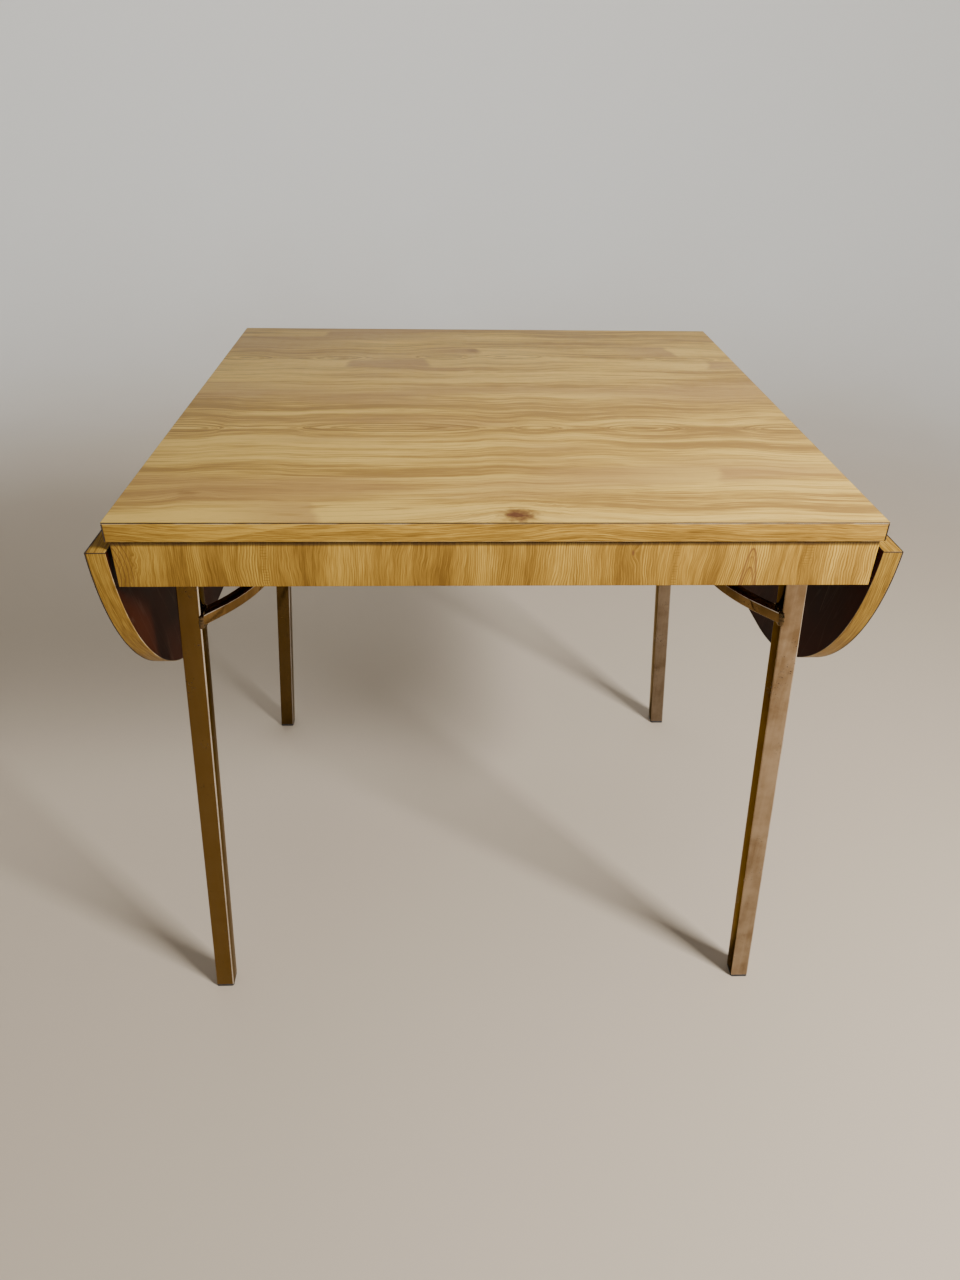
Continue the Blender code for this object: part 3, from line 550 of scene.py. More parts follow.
def sweep(f, along, across):
    """A change of tone across a slanting ring: pale above it and deep below."""
    rise = f.times(f.minus(along, SWEEP_FOOT[0]), SWEEP_SLOPE)
    off = f.minus(f.minus(across, SWEEP_FOOT[1]), rise)
    pale = f.times(f.step(off, -SWEEP_EDGE, SWEEP_EDGE),
                   f.step(off, SWEEP_ABOVE, SWEEP_EDGE, 0.0, SWEEP_PALE))
    deep = f.times(f.step(off, SWEEP_EDGE, -SWEEP_EDGE), f.step(off, -SWEEP_BELOW, 0.0, 0.0, SWEEP_DEEP))
    return f.minus(pale, deep)


def strip_print(name, settings, along_of, across_of, seed, lightness=1.0, streaks=1.0, swept=False):
    """The print of the edge strips, whose grain runs along them in long shallow sweeps."""
    f = Finish(name)
    shades = [toned(shade, lightness) for shade in
              (settings.amber_dark, settings.amber, settings.amber_light)]
    along, across = along_of(f), across_of(f)
    field = ring_field(f, along, across, seed, STRIP_WAVES)
    bands = [(per_along, per_across, weight * streaks) for per_along, per_across, weight in STRIP_STREAKS]
    tone = grain(f, along, field, seed + BAND_SEED, (*bands, *STRIP_FIBRES))
    if swept:
        tone = f.plus(tone, sweep(f, along, across))
    shade = f.ramp(tone, AMBER_RAMP, shades)
    line = thin_lines(f, along, field, seed + LINE_SEED, *STRIP_LINES)
    shade = f.lay(shade, shades[0], line, STRIP_LINE_SHARE)
    pore = pores(f, along, across, seed + PORE_SEED)
    shade = f.lay(shade, shades[0], pore, STRIP_PORE_SHARE)
    return satin(f, shade, pore, settings)


# The aprons' print: waves of its rings, its bands, combed lines, knots, and a painted shadow line under the top
APRON_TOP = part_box("front_apron")[1].z
APRON_WAVES = ((0.050, 4.0, 5.0), (0.010, 14.0, 24.0), (0.003, 60.0, 80.0))
APRON_BANDS = ((2.0, 20.0, 1.15), (5.0, 70.0, 0.50), (14.0, 330.0, 0.50), (40.0, 1100.0, 0.8))
APRON_KNOTS = ((0.700, -0.386, 0.030, 0.010, 0.016, 0.0), (0.727, 0.132, 0.0035, 0.0018, 0.004, 0.75))
APRON_PORE_SHARE = 0.30
COMB_PITCH, COMB_SHARE = 0.0024, 0.72
# Painted shadow: a dark band along the aprons' top edge, where the top's overhang shades them
UNDER_TOP_SHADE_LOW, UNDER_TOP_SHADE_HIGH, UNDER_TOP_SHADE_SHARE = 0.0072, 0.0042, 0.8
BACK_SHIFT, SIDE_SHIFT = 0.14, 0.11

# An arch of rings near its right end, bent rings at its left end, and columns of short rungs
ARCH_X, ARCH_TOP, ARCH_HALF, ARCH_HEIGHT = 0.252, 0.7315, 0.0064, 0.045
ARCH_BEND, ARCH_WIDTH, ARCH_SHARE = 0.55, 0.0011, 0.85
ARCH_LINES = ((0.0, 0.9), (0.20, 0.45), (0.46, 0.75))
ARC_MIDDLE, ARC_HALF = (-0.394, 0.704), (0.020, 0.034)
ARC_LINES, ARC_SHARE = 5.0, 0.9
ARC_GRAIN, ARC_SEED, ARC_SWING = (50.0, 50.0), 36.0, 2.5
ARC_LINE, ARC_STEP = (0.6, 0.97), (2.1, 1.5, 0.0, 0.8)
RUNGS = ((0.176, 0.0035), (0.308, 0.0070), (-0.232, 0.0040))
RUNG_PITCH, RUNG_CORE, RUNG_SHARE = 0.0030, 0.6, 0.6
RUNG_GRAIN, RUNG_SEED, RUNG_SWING = (90.0, 60.0), 33.0, 9.0
RUNG_LINE, RUNG_STEP = (0.2, 0.9), (0.40, 0.55)


def arch_lines(f, along, across):
    """A narrow pointed arch of rings, with lines of even width."""
    wide = f.over(f.minus(across, ARCH_X), ARCH_HALF)
    down = f.over(f.minus(ARCH_TOP, along), ARCH_HEIGHT)
    reach = f.minus(down, f.times(f.times(wide, wide), ARCH_BEND))
    slope = f.times(f.math("ABSOLUTE", wide), 2 * ARCH_BEND / ARCH_HALF)
    width = f.times(f.plus(slope, 1 / ARCH_HEIGHT), ARCH_WIDTH)
    mask = 0.0
    for start, strength in ARCH_LINES:
        mask = f.most(mask, f.step(f.over(f.off(reach, start), width), 1.0, LINE_CORE, 0.0, strength))
    return mask


def end_arcs(f, along, across):
    """Rings that bend round the front apron's left end."""
    reach = f.far(f.over(f.minus(across, ARC_MIDDLE[0]), ARC_HALF[0]),
                  f.over(f.minus(along, ARC_MIDDLE[1]), ARC_HALF[1]))
    wobble = f.noise(f.stretched(along, across, *ARC_GRAIN, ARC_SEED))
    phase = f.scaled(reach, 2 * pi * ARC_LINES, f.times(wobble, ARC_SWING))
    return f.times(f.step(f.math("SINE", phase), *ARC_LINE), f.step(reach, *ARC_STEP))


def rungs(f, along, across):
    """Short dark rungs across the grain, in narrow columns."""
    wobble = f.noise(f.stretched(along, across, *RUNG_GRAIN, RUNG_SEED))
    wave = f.math("SINE", f.scaled(wobble, RUNG_SWING, f.times(along, 2 * pi / RUNG_PITCH)))
    mask = 0.0
    for middle, half in RUNGS:
        mask = f.most(mask, f.step(f.off(across, middle), half, RUNG_CORE * half, 0.0, RUNG_SHARE))
    return f.times(mask, f.times(f.step(wave, *RUNG_LINE), f.step(wobble, *RUNG_STEP)))


def apron_print(name, settings, across_of, seed):
    """The aprons' print, whose grain stands upright."""
    f = Finish(name)
    along, across = f.z, across_of(f)
    field = ring_field(f, along, across, seed, APRON_WAVES)
    field, dark = bend_round_knots(f, along, across, field, APRON_KNOTS)
    tone = grain(f, along, field, seed + BAND_SEED, APRON_BANDS)
    shade = f.ramp(tone, AMBER_RAMP, (settings.amber_dark, settings.amber, settings.amber_light))
    line = combed_lines(f, along, field, COMB_PITCH, seed + LINE_SEED)
    shade = f.lay(shade, settings.amber_dark, line, COMB_SHARE)
    shade = f.lay(shade, settings.knot, arch_lines(f, along, across), ARCH_SHARE)
    shade = f.lay(shade, settings.amber_dark, rungs(f, along, across))
    shade = f.lay(shade, settings.knot, end_arcs(f, along, across), ARC_SHARE)
    pore = pores(f, along, across, seed + PORE_SEED)
    shade = f.lay(shade, settings.amber_dark, pore, APRON_PORE_SHARE)
    shade = f.lay(shade, settings.knot, dark)
    # Painted shadow under the top's edge, in the cut edge's dark colour
    under_top_shade = f.step(along, APRON_TOP - UNDER_TOP_SHADE_LOW, APRON_TOP - UNDER_TOP_SHADE_HIGH, 0.0, UNDER_TOP_SHADE_SHARE)
    shade = f.lay(shade, settings.cut_edge, under_top_shade)
    return satin(f, shade, pore, settings)


CLOUD_DETAIL, CLOUD_STEP, CLOUD_DULL = 4.0, (0.35, 0.68), 0.22
RELIEF_FINER = 40.0
CUT_DARK, PLASTIC_PALE = 0.5, 2.0


def clouded(f, scale, dark, light, roughness):
    """A shade in clouds of two colours, and how dull it is in them."""
    cloud = f.noise(f.place, scale, CLOUD_DETAIL)
    dull = f.scaled(f.minus(cloud, 0.5), CLOUD_DULL, roughness)
    return f.mix(f.step(cloud, *CLOUD_STEP), dark, light), dull


def plain_finish(name, light, dark, scale, roughness, relief=0.0):
    """A cloudy two-colour finish with uneven gloss."""
    f = Finish(name)
    shade, dull = clouded(f, scale, dark, light, roughness)
    if relief:
        f.bump(f.noise(f.place, scale * RELIEF_FINER), relief)
    return f.surface(base_color=shade, roughness=dull)


# The backing sheet: its clouds, gloss and fine relief, small scuffs in patches, and faint scratches
BACKING_CLOUD, BACKING_DULL, BACKING_GLOSS = 6.0, 0.42, 0.03
BACKING_FINE, BACKING_DEPTH = 240.0, 0.00003
SCUFF_CELLS, SCUFF_CHOSEN, SCUFF_EDGE = 85.0, (0.72, 0.95), (0.16, 0.05)
SCUFF_PATCH, SCUFF_STEP, SCUFF_SHARE = 11.0, (0.50, 0.62), 0.6
FAINT_LEAN, FAINT_SEED, FAINT_LINES, FAINT_SHARE = 0.4, 71.0, (4.0, 46.0, 0.012), 0.30

# A painted reflection of a leg's edge, as a long pale line on the right leaf's underside: its foot across and up,
# its lean, top, width and ends
LEG_GLINT_ACROSS, LEG_GLINT_FOOT, LEG_GLINT_LEAN = -0.274, 0.595, -0.20
LEG_GLINT_TOP, LEG_GLINT_END = 0.668, 0.008
LEG_GLINT_HALF, LEG_GLINT_CORE = 0.0009, 0.2
LEG_GLINT_SIDE = (0.0, 0.1)


def leg_glint_line(f):
    """A painted reflection of a leg's edge: one long pale line on the right leaf's underside."""
    up = f.minus(f.z, LEG_GLINT_FOOT)
    off = f.off(f.minus(f.y, LEG_GLINT_ACROSS), f.times(up, LEG_GLINT_LEAN))
    ends = f.times(f.step(up, 0.0, LEG_GLINT_END), f.step(f.z, LEG_GLINT_TOP, LEG_GLINT_TOP - LEG_GLINT_END))
    line = f.times(f.step(off, LEG_GLINT_HALF, LEG_GLINT_CORE * LEG_GLINT_HALF), ends)
    return f.times(line, f.step(f.x, *LEG_GLINT_SIDE))


def backing_finish(name, settings):
    """The brown backing sheet, with small scuffs, faint scratches and a painted reflection of a leg's edge."""
    f = Finish(name)
    shade, dull = clouded(f, BACKING_CLOUD, settings.brown, settings.brown_light, BACKING_DULL)
    near, number = f.cells(SCUFF_CELLS)
    where = f.times(f.step(number, *SCUFF_CHOSEN), f.step(f.noise(f.place, SCUFF_PATCH), *SCUFF_STEP))
    scuffs_and_glint = f.times(f.step(near, *SCUFF_EDGE), where)
    lean = f.scaled(f.z, FAINT_LEAN, f.plus(f.x, f.y))
    faint = thin_lines(f, f.plus(f.z, f.x), lean, FAINT_SEED, *FAINT_LINES)
    scuffs_and_glint = f.most(scuffs_and_glint, f.times(faint, FAINT_SHARE))
    # Painted reflection of a leg's edge, as a pale line
    scuffs_and_glint = f.most(scuffs_and_glint, leg_glint_line(f))
    shade = f.lay(shade, settings.scuffs_and_glint, scuffs_and_glint, SCUFF_SHARE)
    f.bump(f.noise(f.place, BACKING_FINE), BACKING_DEPTH)
    return f.surface(base_color=shade, roughness=dull, specular_ior_level=BACKING_GLOSS)


CHIP_CELLS, CHIP_FINE, CHIP_UNEVEN = 420.0, 1500.0, 0.5
CHIP_STEP, CHIP_DEPTH, CHIP_DULL = (0.1, 0.9), 0.0002, 0.86


def chipboard_finish(name, settings):
    """Raw pressed chips."""
    f = Finish(name)
    near, number = f.cells(CHIP_CELLS)
    fine = f.noise(f.place, CHIP_FINE)
    tone = f.scaled(f.minus(fine, 0.5), CHIP_UNEVEN, number)
    shade = f.mix(f.step(tone, *CHIP_STEP), settings.chip_dark, settings.chip_light)
    f.bump(f.plus(near, fine), CHIP_DEPTH)
    return f.surface(base_color=shade, roughness=CHIP_DULL)


BLOCK_LEAN, BLOCK_SEED = 0.6, 21.0
BLOCK_WAVES = ((0.012, 8.0, 9.0),)
BLOCK_BANDS = ((4.0, 120.0, 1.4), (12.0, 600.0, 0.8))
BLOCK_STEP, BLOCK_DEPTH, BLOCK_DULL = (0.25, 0.75), 0.0001, 0.68


def block_finish(name, settings):
    """Raw softwood with its grain upright."""
    f = Finish(name)
    across = f.plus(f.x, f.times(f.y, BLOCK_LEAN))
    field = ring_field(f, f.z, across, BLOCK_SEED, BLOCK_WAVES)
    tone = grain(f, f.z, field, BLOCK_SEED + BAND_SEED, BLOCK_BANDS)
    shade = f.mix(f.step(tone, *BLOCK_STEP), settings.block_dark, settings.block_light)
    f.bump(tone, BLOCK_DEPTH)
    return f.surface(base_color=shade, roughness=BLOCK_DULL)


# The chrome's film: its clouds and streaks; more of it higher up, on the left and at the back is painted shade
FILM_CLOUD, FILM_DETAIL, FILM_ROUGHNESS, FILM_STEP = 26.0, 5.0, 0.6, (0.35, 0.75)
STREAK_GRAIN, STREAK_SEED, STREAK_DETAIL, STREAK_SHARE = (7.0, 160.0), 2.0, 3.0, 0.30
UPPER_SHADE_STEP = (0.30, 0.70, 0.0, 0.10)
LEFT_SHADE_STEP = (0.25, -0.25, 0.0, 0.92)
BACK_SHADE_STEP = (-0.25, 0.25)

# Its rust: which cells hold a speck, how large it is, and the clouds of rust, which spread with the share
RUST_CELLS, RUST_CHOSEN, RUST_EDGE = 350.0, (0.45, 0.60), (0.42, 0.20)
RUST_CLOUD, RUST_DETAIL, RUST_LIMITS, RUST_SPREAD = 24.0, 3.0, (0.66, 0.84), 0.3
RUST_DEPTH, RUST_COVER = 0.0001, 0.8

# How dull it is, and how much the film, fine rubbing and rust add
CHROME_DULL, FILM_DULL, RUB_DULL, RUST_DULL = 0.05, 0.09, 0.10, 0.45
RUB_GRAIN, RUB_SEED = (30.0, 900.0), 5.0


def rust_specks(f, rust):
    """A mask of rust specks over a share of the chrome."""
    near, number = f.cells(RUST_CELLS)
    limits = [limit - RUST_SPREAD * rust for limit in RUST_LIMITS]
    where = f.step(f.noise(f.place, RUST_CLOUD, RUST_DETAIL), *limits)
    return f.times(f.step(near, *RUST_EDGE), f.times(f.step(number, *RUST_CHOSEN), where))


def chrome_finish(name, settings, light, dark, rust=0.5, left=None, tint=None):
    """Chrome under a film, with rust over a share of it and fine rubbing, and painted shade higher up and on the
    back legs; left is the colour of its painted shade on the left legs.
    """
    f = Finish(name)
    round_leg = f.plus(f.x, f.y)
    cloud = f.noise(f.place, FILM_CLOUD, FILM_DETAIL, FILM_ROUGHNESS)
    streak = f.noise(f.stretched(f.z, round_leg, *STREAK_GRAIN, STREAK_SEED), detail=STREAK_DETAIL)
    film_and_shade = f.scaled(streak, STREAK_SHARE, f.times(cloud, 1 - STREAK_SHARE))
    # Painted shade under the top: more film higher up
    film_and_shade = f.step(f.plus(film_and_shade, f.step(f.z, *UPPER_SHADE_STEP)), *FILM_STEP)
    shade = f.mix(film_and_shade, light, dark)
    if left:
        # Painted shade: the left legs darker
        shade = f.lay(shade, left, f.step(f.x, *LEFT_SHADE_STEP))
    # Painted shade: the back legs darker
    shade = f.mix(f.step(f.y, *BACK_SHADE_STEP), shade, settings.back_shade, "MULTIPLY")
    speck = rust_specks(f, rust)
    shade = f.lay(shade, settings.rust, speck)
    rub = f.swing(f.stretched(f.z, round_leg, *RUB_GRAIN, RUB_SEED))
    dull = f.scaled(film_and_shade, FILM_DULL, CHROME_DULL)
    dull = f.scaled(rub, RUB_DULL, dull)
    dull = f.scaled(speck, RUST_DULL, dull)
    f.bump(f.times(speck, -1.0), RUST_DEPTH)
    return f.surface(base_color=shade, roughness=dull, metallic=f.scaled(speck, -RUST_COVER, 1.0),
                     specular_tint=tint or settings.edge_tint)


SPANGLE_CELLS, SPANGLE_SHARE = 260.0, 0.35
ZINC_CLOUD, ZINC_STEP = 45.0, (0.35, 0.70, 0.0, 0.65)
ZINC_FINE, ZINC_DEPTH = 900.0, 0.00002
ZINC_DULL, ZINC_UNEVEN = 0.24, 0.22


def steel_finish(name, settings):
    """Zinc plate with dull spangles."""
    f = Finish(name)
    _, spangle = f.cells(SPANGLE_CELLS)
    cloud = f.noise(f.place, ZINC_CLOUD, CLOUD_DETAIL)
    tone = f.scaled(spangle, SPANGLE_SHARE, f.step(cloud, *ZINC_STEP))
    shade = f.mix(tone, settings.zinc_dull, settings.zinc)
    f.bump(f.noise(f.place, ZINC_FINE), ZINC_DEPTH)
    return f.surface(base_color=shade, roughness=f.scaled(cloud, ZINC_UNEVEN, ZINC_DULL), metallic=1.0)


def finish(name):
    """A finish by its name, made when it is first asked for."""
    scene = bpy.context.scene
    prints, backing, metal = scene.table_print, scene.table_backing, scene.table_metal
    joint = PIN_X + PIN_Z
    makers = {
        "top_print": lambda: board_print(name, prints, lambda f: f.x),
        "left_leaf_print": lambda: board_print(name, prints, lambda f: f.minus(f.z, joint)),
        "right_leaf_print": lambda: board_print(name, prints, lambda f: f.minus(joint, f.z)),
        "cross_strip_print": lambda: strip_print(name, prints, lambda f: f.x, lambda f: f.z, seed=31.0,
                                                 streaks=0.6, swept=True),
        "long_strip_print": lambda: strip_print(name, prints, lambda f: f.y, lambda f: f.z, seed=37.0),
        "joint_strip_print": lambda: strip_print(name, prints, lambda f: f.y, lambda f: f.x, seed=41.0),
        "rim_print": lambda: strip_print(name, prints, run_along, lambda f: f.x, seed=47.0,
                                         lightness=prints.rim_share, streaks=0.35),
        "front_apron_print": lambda: apron_print(name, prints, lambda f: f.x, seed=51.0),
        "back_apron_print": lambda: apron_print(name, prints, lambda f: f.minus(BACK_SHIFT, f.x), seed=63.0),
        "side_apron_print": lambda: apron_print(name, prints, lambda f: f.plus(f.y, SIDE_SHIFT), seed=57.0),
        "cut_edge": lambda: plain_finish(name, prints.cut_edge, toned(prints.cut_edge, CUT_DARK),
                                         scale=60.0, roughness=0.55),
        "worn_arris": lambda: plain_finish(name, prints.worn_arris, prints.amber,
                                           scale=40.0, roughness=0.55),
        "brown_backing": lambda: backing_finish(name, backing),
        "raw_chipboard": lambda: chipboard_finish(name, backing),
        "raw_softwood": lambda: block_finish(name, backing),
        "worn_chrome": lambda: chrome_finish(name, metal, metal.chrome, metal.tarnish_and_reflection,
                                             left=metal.left_shade),
        "filmed_chrome": lambda: chrome_finish(name, metal, metal.inner, metal.deep_shade_and_weld_film,
                                               left=metal.deep_shade_and_weld_film, tint=metal.inner_shade_tint),
        "rubbed_chrome": lambda: chrome_finish(name, metal, metal.corner_highlight, metal.corner_highlight_dull, rust=0.2),
        "bronzed_chrome": lambda: chrome_finish(name, metal, metal.bronze_reflection, metal.bronze_reflection_dark),
        "weld_chrome": lambda: chrome_finish(name, metal, metal.tarnish_and_reflection, metal.deep_shade_and_weld_film, rust=1.0),
        "spangled_zinc": lambda: steel_finish(name, metal),
        "moulded_black": lambda: plain_finish(name, toned(metal.plastic, PLASTIC_PALE), metal.plastic,
                                              scale=90.0, roughness=0.44, relief=0.00005),
    }
    return bpy.data.materials.get(name) or makers[name]()


SMOOTH_ANGLE, FLAT_ANGLE = radians(35.0), radians(0.5)
MERGE_DISTANCE = 1e-6
ROUND_SEGMENTS = 2
CORNER_STEPS = 6
TURN_STEPS = 24


def place_piece(name, shape, finishes, body, nodes=()):
    """Turn a bmesh in the frame's coordinates into a piece that rides on a body and stands for nodes."""
    mesh = bpy.data.meshes.new(name)
    bmesh.ops.recalc_face_normals(shape, faces=shape.faces)
    shape.to_mesh(mesh)
    shape.free()
    for item in finishes:
        mesh.materials.append(finish(item))
    mesh.shade_smooth()
    mesh.set_sharp_from_angle(angle=SMOOTH_ANGLE)
    piece = bpy.data.objects.new(name, mesh)
    bpy.context.scene.collection.objects.link(piece)
    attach(piece, body)
    if nodes:
        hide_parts(*nodes)


def rounded_copy(node, rounding, finishes, choose=None):
    """A copy of a CAD node with rounded edges; choose gives the number of a face's finish."""
    shape = bmesh.new()
    shape.from_mesh(frame["nodes"][node].data)
    bmesh.ops.remove_doubles(shape, verts=shape.verts, dist=MERGE_DISTANCE)
    bmesh.ops.dissolve_limit(shape, angle_limit=FLAT_ANGLE, verts=shape.verts, edges=shape.edges)
    edges = [edge for edge in shape.edges if edge.is_manifold and edge.calc_face_angle() > SMOOTH_ANGLE]
    bmesh.ops.bevel(shape, geom=edges, offset=rounding, segments=ROUND_SEGMENTS, profile=0.5,
                    affect="EDGES", clamp_overlap=True)
    shape.normal_update()
    for face in shape.faces:
        face.material_index = choose(face) if choose else 0
    place_piece(node + "_finished", shape, finishes, BODIES[node], (node,))


def keep_node(node, item):
    """Give a CAD node that shows as it is its finish."""
    mesh = frame["nodes"][node].data
    mesh.materials.clear()
    mesh.materials.append(finish(item))


def skin(shape, loops, closed=False, capped=True, material=0):
    """Skin a row of equal loops of points; material is a finish's number, or a list of one per column."""
    rows = [[shape.verts.new(place) for place in loop] for loop in loops]
    count = len(rows[0])
    pairs = list(zip(rows, rows[1:])) + ([(rows[-1], rows[0])] if closed else [])
    for row, following in pairs:
        for i in range(count):
            j = (i + 1) % count
            face = shape.faces.new((row[i], row[j], following[j], following[i]))
            face.material_index = material[i] if isinstance(material, list) else material
    if capped and not closed:
        for row in (rows[0], rows[-1]):
            shape.faces.new(row).material_index = material
    return rows


def tube(shape, outer, inner, flats, corners):
    """Skin a tube with open ends; flats and corners are the finishes of its four sides and four corners."""
    columns = [number for flat, corner in zip(flats, corners) for number in [corner] * CORNER_STEPS + [flat]]
    outer_rows = skin(shape, outer, capped=False, material=columns)
    inner_rows = skin(shape, inner, capped=False)
    count = len(outer_rows[0])
    for end in (0, -1):
        for i in range(count):
            j = (i + 1) % count
            shape.faces.new((outer_rows[end][i], outer_rows[end][j], inner_rows[end][j], inner_rows[end][i]))


def rounded_square(size, radius):
    """Points round a square with round corners, centred on zero."""
    points = []
    inner = size / 2 - radius
    for corner, (a, b) in enumerate(((1, 1), (-1, 1), (-1, -1), (1, -1))):
        for i in range(CORNER_STEPS + 1):
            turn = (corner + i / CORNER_STEPS) * pi / 2
            points.append((a * inner + radius * cos(turn), b * inner + radius * sin(turn)))
    return points


def circle(steps):
    """Points round a circle of radius one."""
    return [(cos(2 * pi * i / steps), sin(2 * pi * i / steps)) for i in range(steps)]


def round_bar(node):
    """Front and back end of a round node's axis, its length and its radius."""
    low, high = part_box(node)
    middle = (low + high) / 2
    front, back = [Vector((middle.x, y, middle.z)) for y in (low.y, high.y)]
    return front, back, high.y - low.y, (high.z - low.z) / 2


def turned(node, item, start, way, profile, steps=TURN_STEPS):
    """A turned piece in place of a node; profile points are (distance along the way, radius)."""
    way = Vector(way)
    across = way.orthogonal().normalized()
    beside = way.cross(across)
    loops = [[start + way * along + (across * a + beside * b) * radius for a, b in circle(steps)]
             for along, radius in profile]
    shape = bmesh.new()
    skin(shape, loops)
    place_piece(node + "_turned", shape, (item,), BODIES[node], (node,))


# Parts of a face's normal: along an axis where it is square to it, outward where it is printed, and up
# where it still counts as level
SQUARE_ON, PRINTED_ON, LEVEL_OFF = 0.95, 0.3, 0.3


def strip_part(face, show_axis):
    """Which finish a strip's face has: print on its show sides, dark ends and corners, pale worn edges."""
    if abs(face.normal[show_axis]) > SQUARE_ON:
        return 0
    upright = abs(face.normal.z) < LEVEL_OFF
    return 1 if upright or max(abs(value) for value in face.normal) > SQUARE_ON else 2


class DROPLEAF_OT_top(Operator):
    """Lay the printed sheet and the edge strips on the top"""
    bl_idname = "drop_leaf.top"
    bl_label = "Top"

    def execute(self, context):
        arris = context.scene.table_print.arris
        rounded_copy("top_laminate", arris, ("top_print", "cut_edge"),
                     lambda face: 0 if face.normal.z > SQUARE_ON else 1)
        for names, item, axis in ((ENDS, "cross_strip_print", 1), (SIDES, "long_strip_print", 0)):
            for name in names:
                rounded_copy("top_%s_edge" % name, arris, (item, "cut_edge", "worn_arris"),
                             lambda face: strip_part(face, axis))
        keep_node("top_core", "raw_chipboard")
        keep_node("top_backer", "brown_backing")
        return {"FINISHED"}


class DROPLEAF_OT_aprons(Operator):
    """Face the aprons and round their corner blocks"""
    bl_idname = "drop_leaf.aprons"
    bl_label = "Aprons"

    def execute(self, context):
        rounding = context.scene.table_backing.block_round
        aprons = [(name, name, Vector((0, end, 0))) for name, end in ENDS.items()]
        aprons += [(name, "side", Vector((side, 0, 0))) for name, side in SIDES.items()]
        for name, kind, out in aprons:
            rounded_copy(name + "_apron", rounding, (kind + "_apron_print", "raw_chipboard"),
                         lambda face: 0 if face.normal.dot(out) > PRINTED_ON else 1)
        for corner in CORNERS:
            rounded_copy(corner + "_corner_block", rounding, ("raw_softwood",))
        return {"FINISHED"}


# Finishes of the tubes, and which of them their four sides and four corners have
CHROME_FINISHES = ("worn_chrome", "rubbed_chrome", "filmed_chrome")
# Painted shade: the legs' inner sides take the dark chrome (2); painted highlight: two corners of each leg take
# the bright chrome (1)
LEG_FLATS = {"left": (0, 0, 0, 2), "right": (0, 2, 0, 0)}
LEG_CORNERS = (1, 0, 0, 1)
STRETCHER_FINISHES = CHROME_FINISHES + ("bronzed_chrome",)
# Painted reflections on the stretchers: the top dark (2), the other sides brown (3); painted highlight on the two
# upper corners (1)
STRETCHER_FLATS, STRETCHER_CORNERS = (2, 3, 3, 3), (1, 1, 3, 3)
BEND_STEPS = 20
BEAD_SIDES, BEAD_STEP = 8, 0.0011
BEAD_RIPPLE, BEAD_GRAIN = 0.28, 420.0


def leg_size(leg):
    """Thickness of a leg tube."""
    low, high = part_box(leg)
    return high.y - low.y


def leg_middle(leg, side, height):
    """Middle of a leg's section at a height."""
    low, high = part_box(leg)
    half = (high.y - low.y) / 2
    foot = (high.x if side > 0 else low.x) - side * half
    top = (low.x if side > 0 else high.x) + side * half
    share_up = (height - low.z) / (high.z - low.z)
    return Vector((foot + (top - foot) * share_up, (low.y + high.y) / 2, height))


def resampled(points, step):
    """A closed row of points with about equal steps."""
    rows = []
    for start, following in zip(points, points[1:] + points[:1]):
        count = max(1, round((following - start).length / step))
        rows += [start.lerp(following, i / count) for i in range(count)]
    return rows


def bead(shape, outline, out, radius):
    """A rippled weld bead along a closed outline on a face whose normal is out."""
    points = resampled(outline, BEAD_STEP)
    loops = []
    for i, middle in enumerate(points):
        along = (points[(i + 1) % len(points)] - points[i - 1]).normalized()
        aside = along.cross(out).normalized()
        lump = 1.0 + BEAD_RIPPLE * noise.noise(middle * BEAD_GRAIN)
        loops.append([middle + (aside * a + out * b) * radius * lump for a, b in circle(BEAD_SIDES)])
    skin(shape, loops, closed=True)


class DROPLEAF_OT_legs(Operator):
    """Make the chrome legs with their plates, glides and welds"""
    bl_idname = "drop_leaf.legs"
    bl_label = "Legs"

    def execute(self, context):
        metal = context.scene.table_metal
        for corner, name in CORNERS.items():
            leg = corner + "_leg"
            low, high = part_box(leg)
            size = leg_size(leg)
            outer = rounded_square(size, metal.leg_round)
            inner = rounded_square(size - 2 * metal.leg_wall, metal.leg_round - metal.leg_wall / 2)
            loops = [[[leg_middle(leg, SIDES[name], z) + Vector((a, b, 0)) for a, b in section]
                      for z in (low.z, high.z)] for section in (outer, inner)]
            shape = bmesh.new()
            tube(shape, *loops, LEG_FLATS[name], LEG_CORNERS)
            place_piece(leg + "_tube", shape, CHROME_FINISHES, BODIES[leg], (leg,))
            rounded_copy(corner + "_leg_plate", metal.plate_round, ("spangled_zinc",))
            rounded_copy(corner + "_glide", metal.plate_round, ("moulded_black",))
            shape = bmesh.new()
            bead(shape, loops[0][1], Vector((0, 0, -1)), metal.weld)
            place_piece(leg + "_weld", shape, ("spangled_zinc",), BODIES[leg])
        return {"FINISHED"}


def stretcher_path(name, height, metal):
    """Middle line of a stretcher in plan, as (out, along) and its angle to Y, from front to back."""
    leg = "front_%s_leg" % name
    start = leg_middle(leg, SIDES[name], height)
    out, along = abs(start.x) - leg_size(leg) / 2, start.y
    bend, radius, stub = metal.stretcher_angle, metal.stretcher_bend, metal.stretcher_stub
    stations = [((out, along), bend)]
    out, along = out - stub * sin(bend), along + stub * cos(bend)
    for i in range(BEND_STEPS + 1):
        turn = bend * (1 - i / BEND_STEPS)
        place = (out - radius * (cos(turn) - cos(bend)), along + radius * (sin(bend) - sin(turn)))
        stations.append((place, turn))
    return stations + [((x, -y), -turn) for (x, y), turn in reversed(stations)]


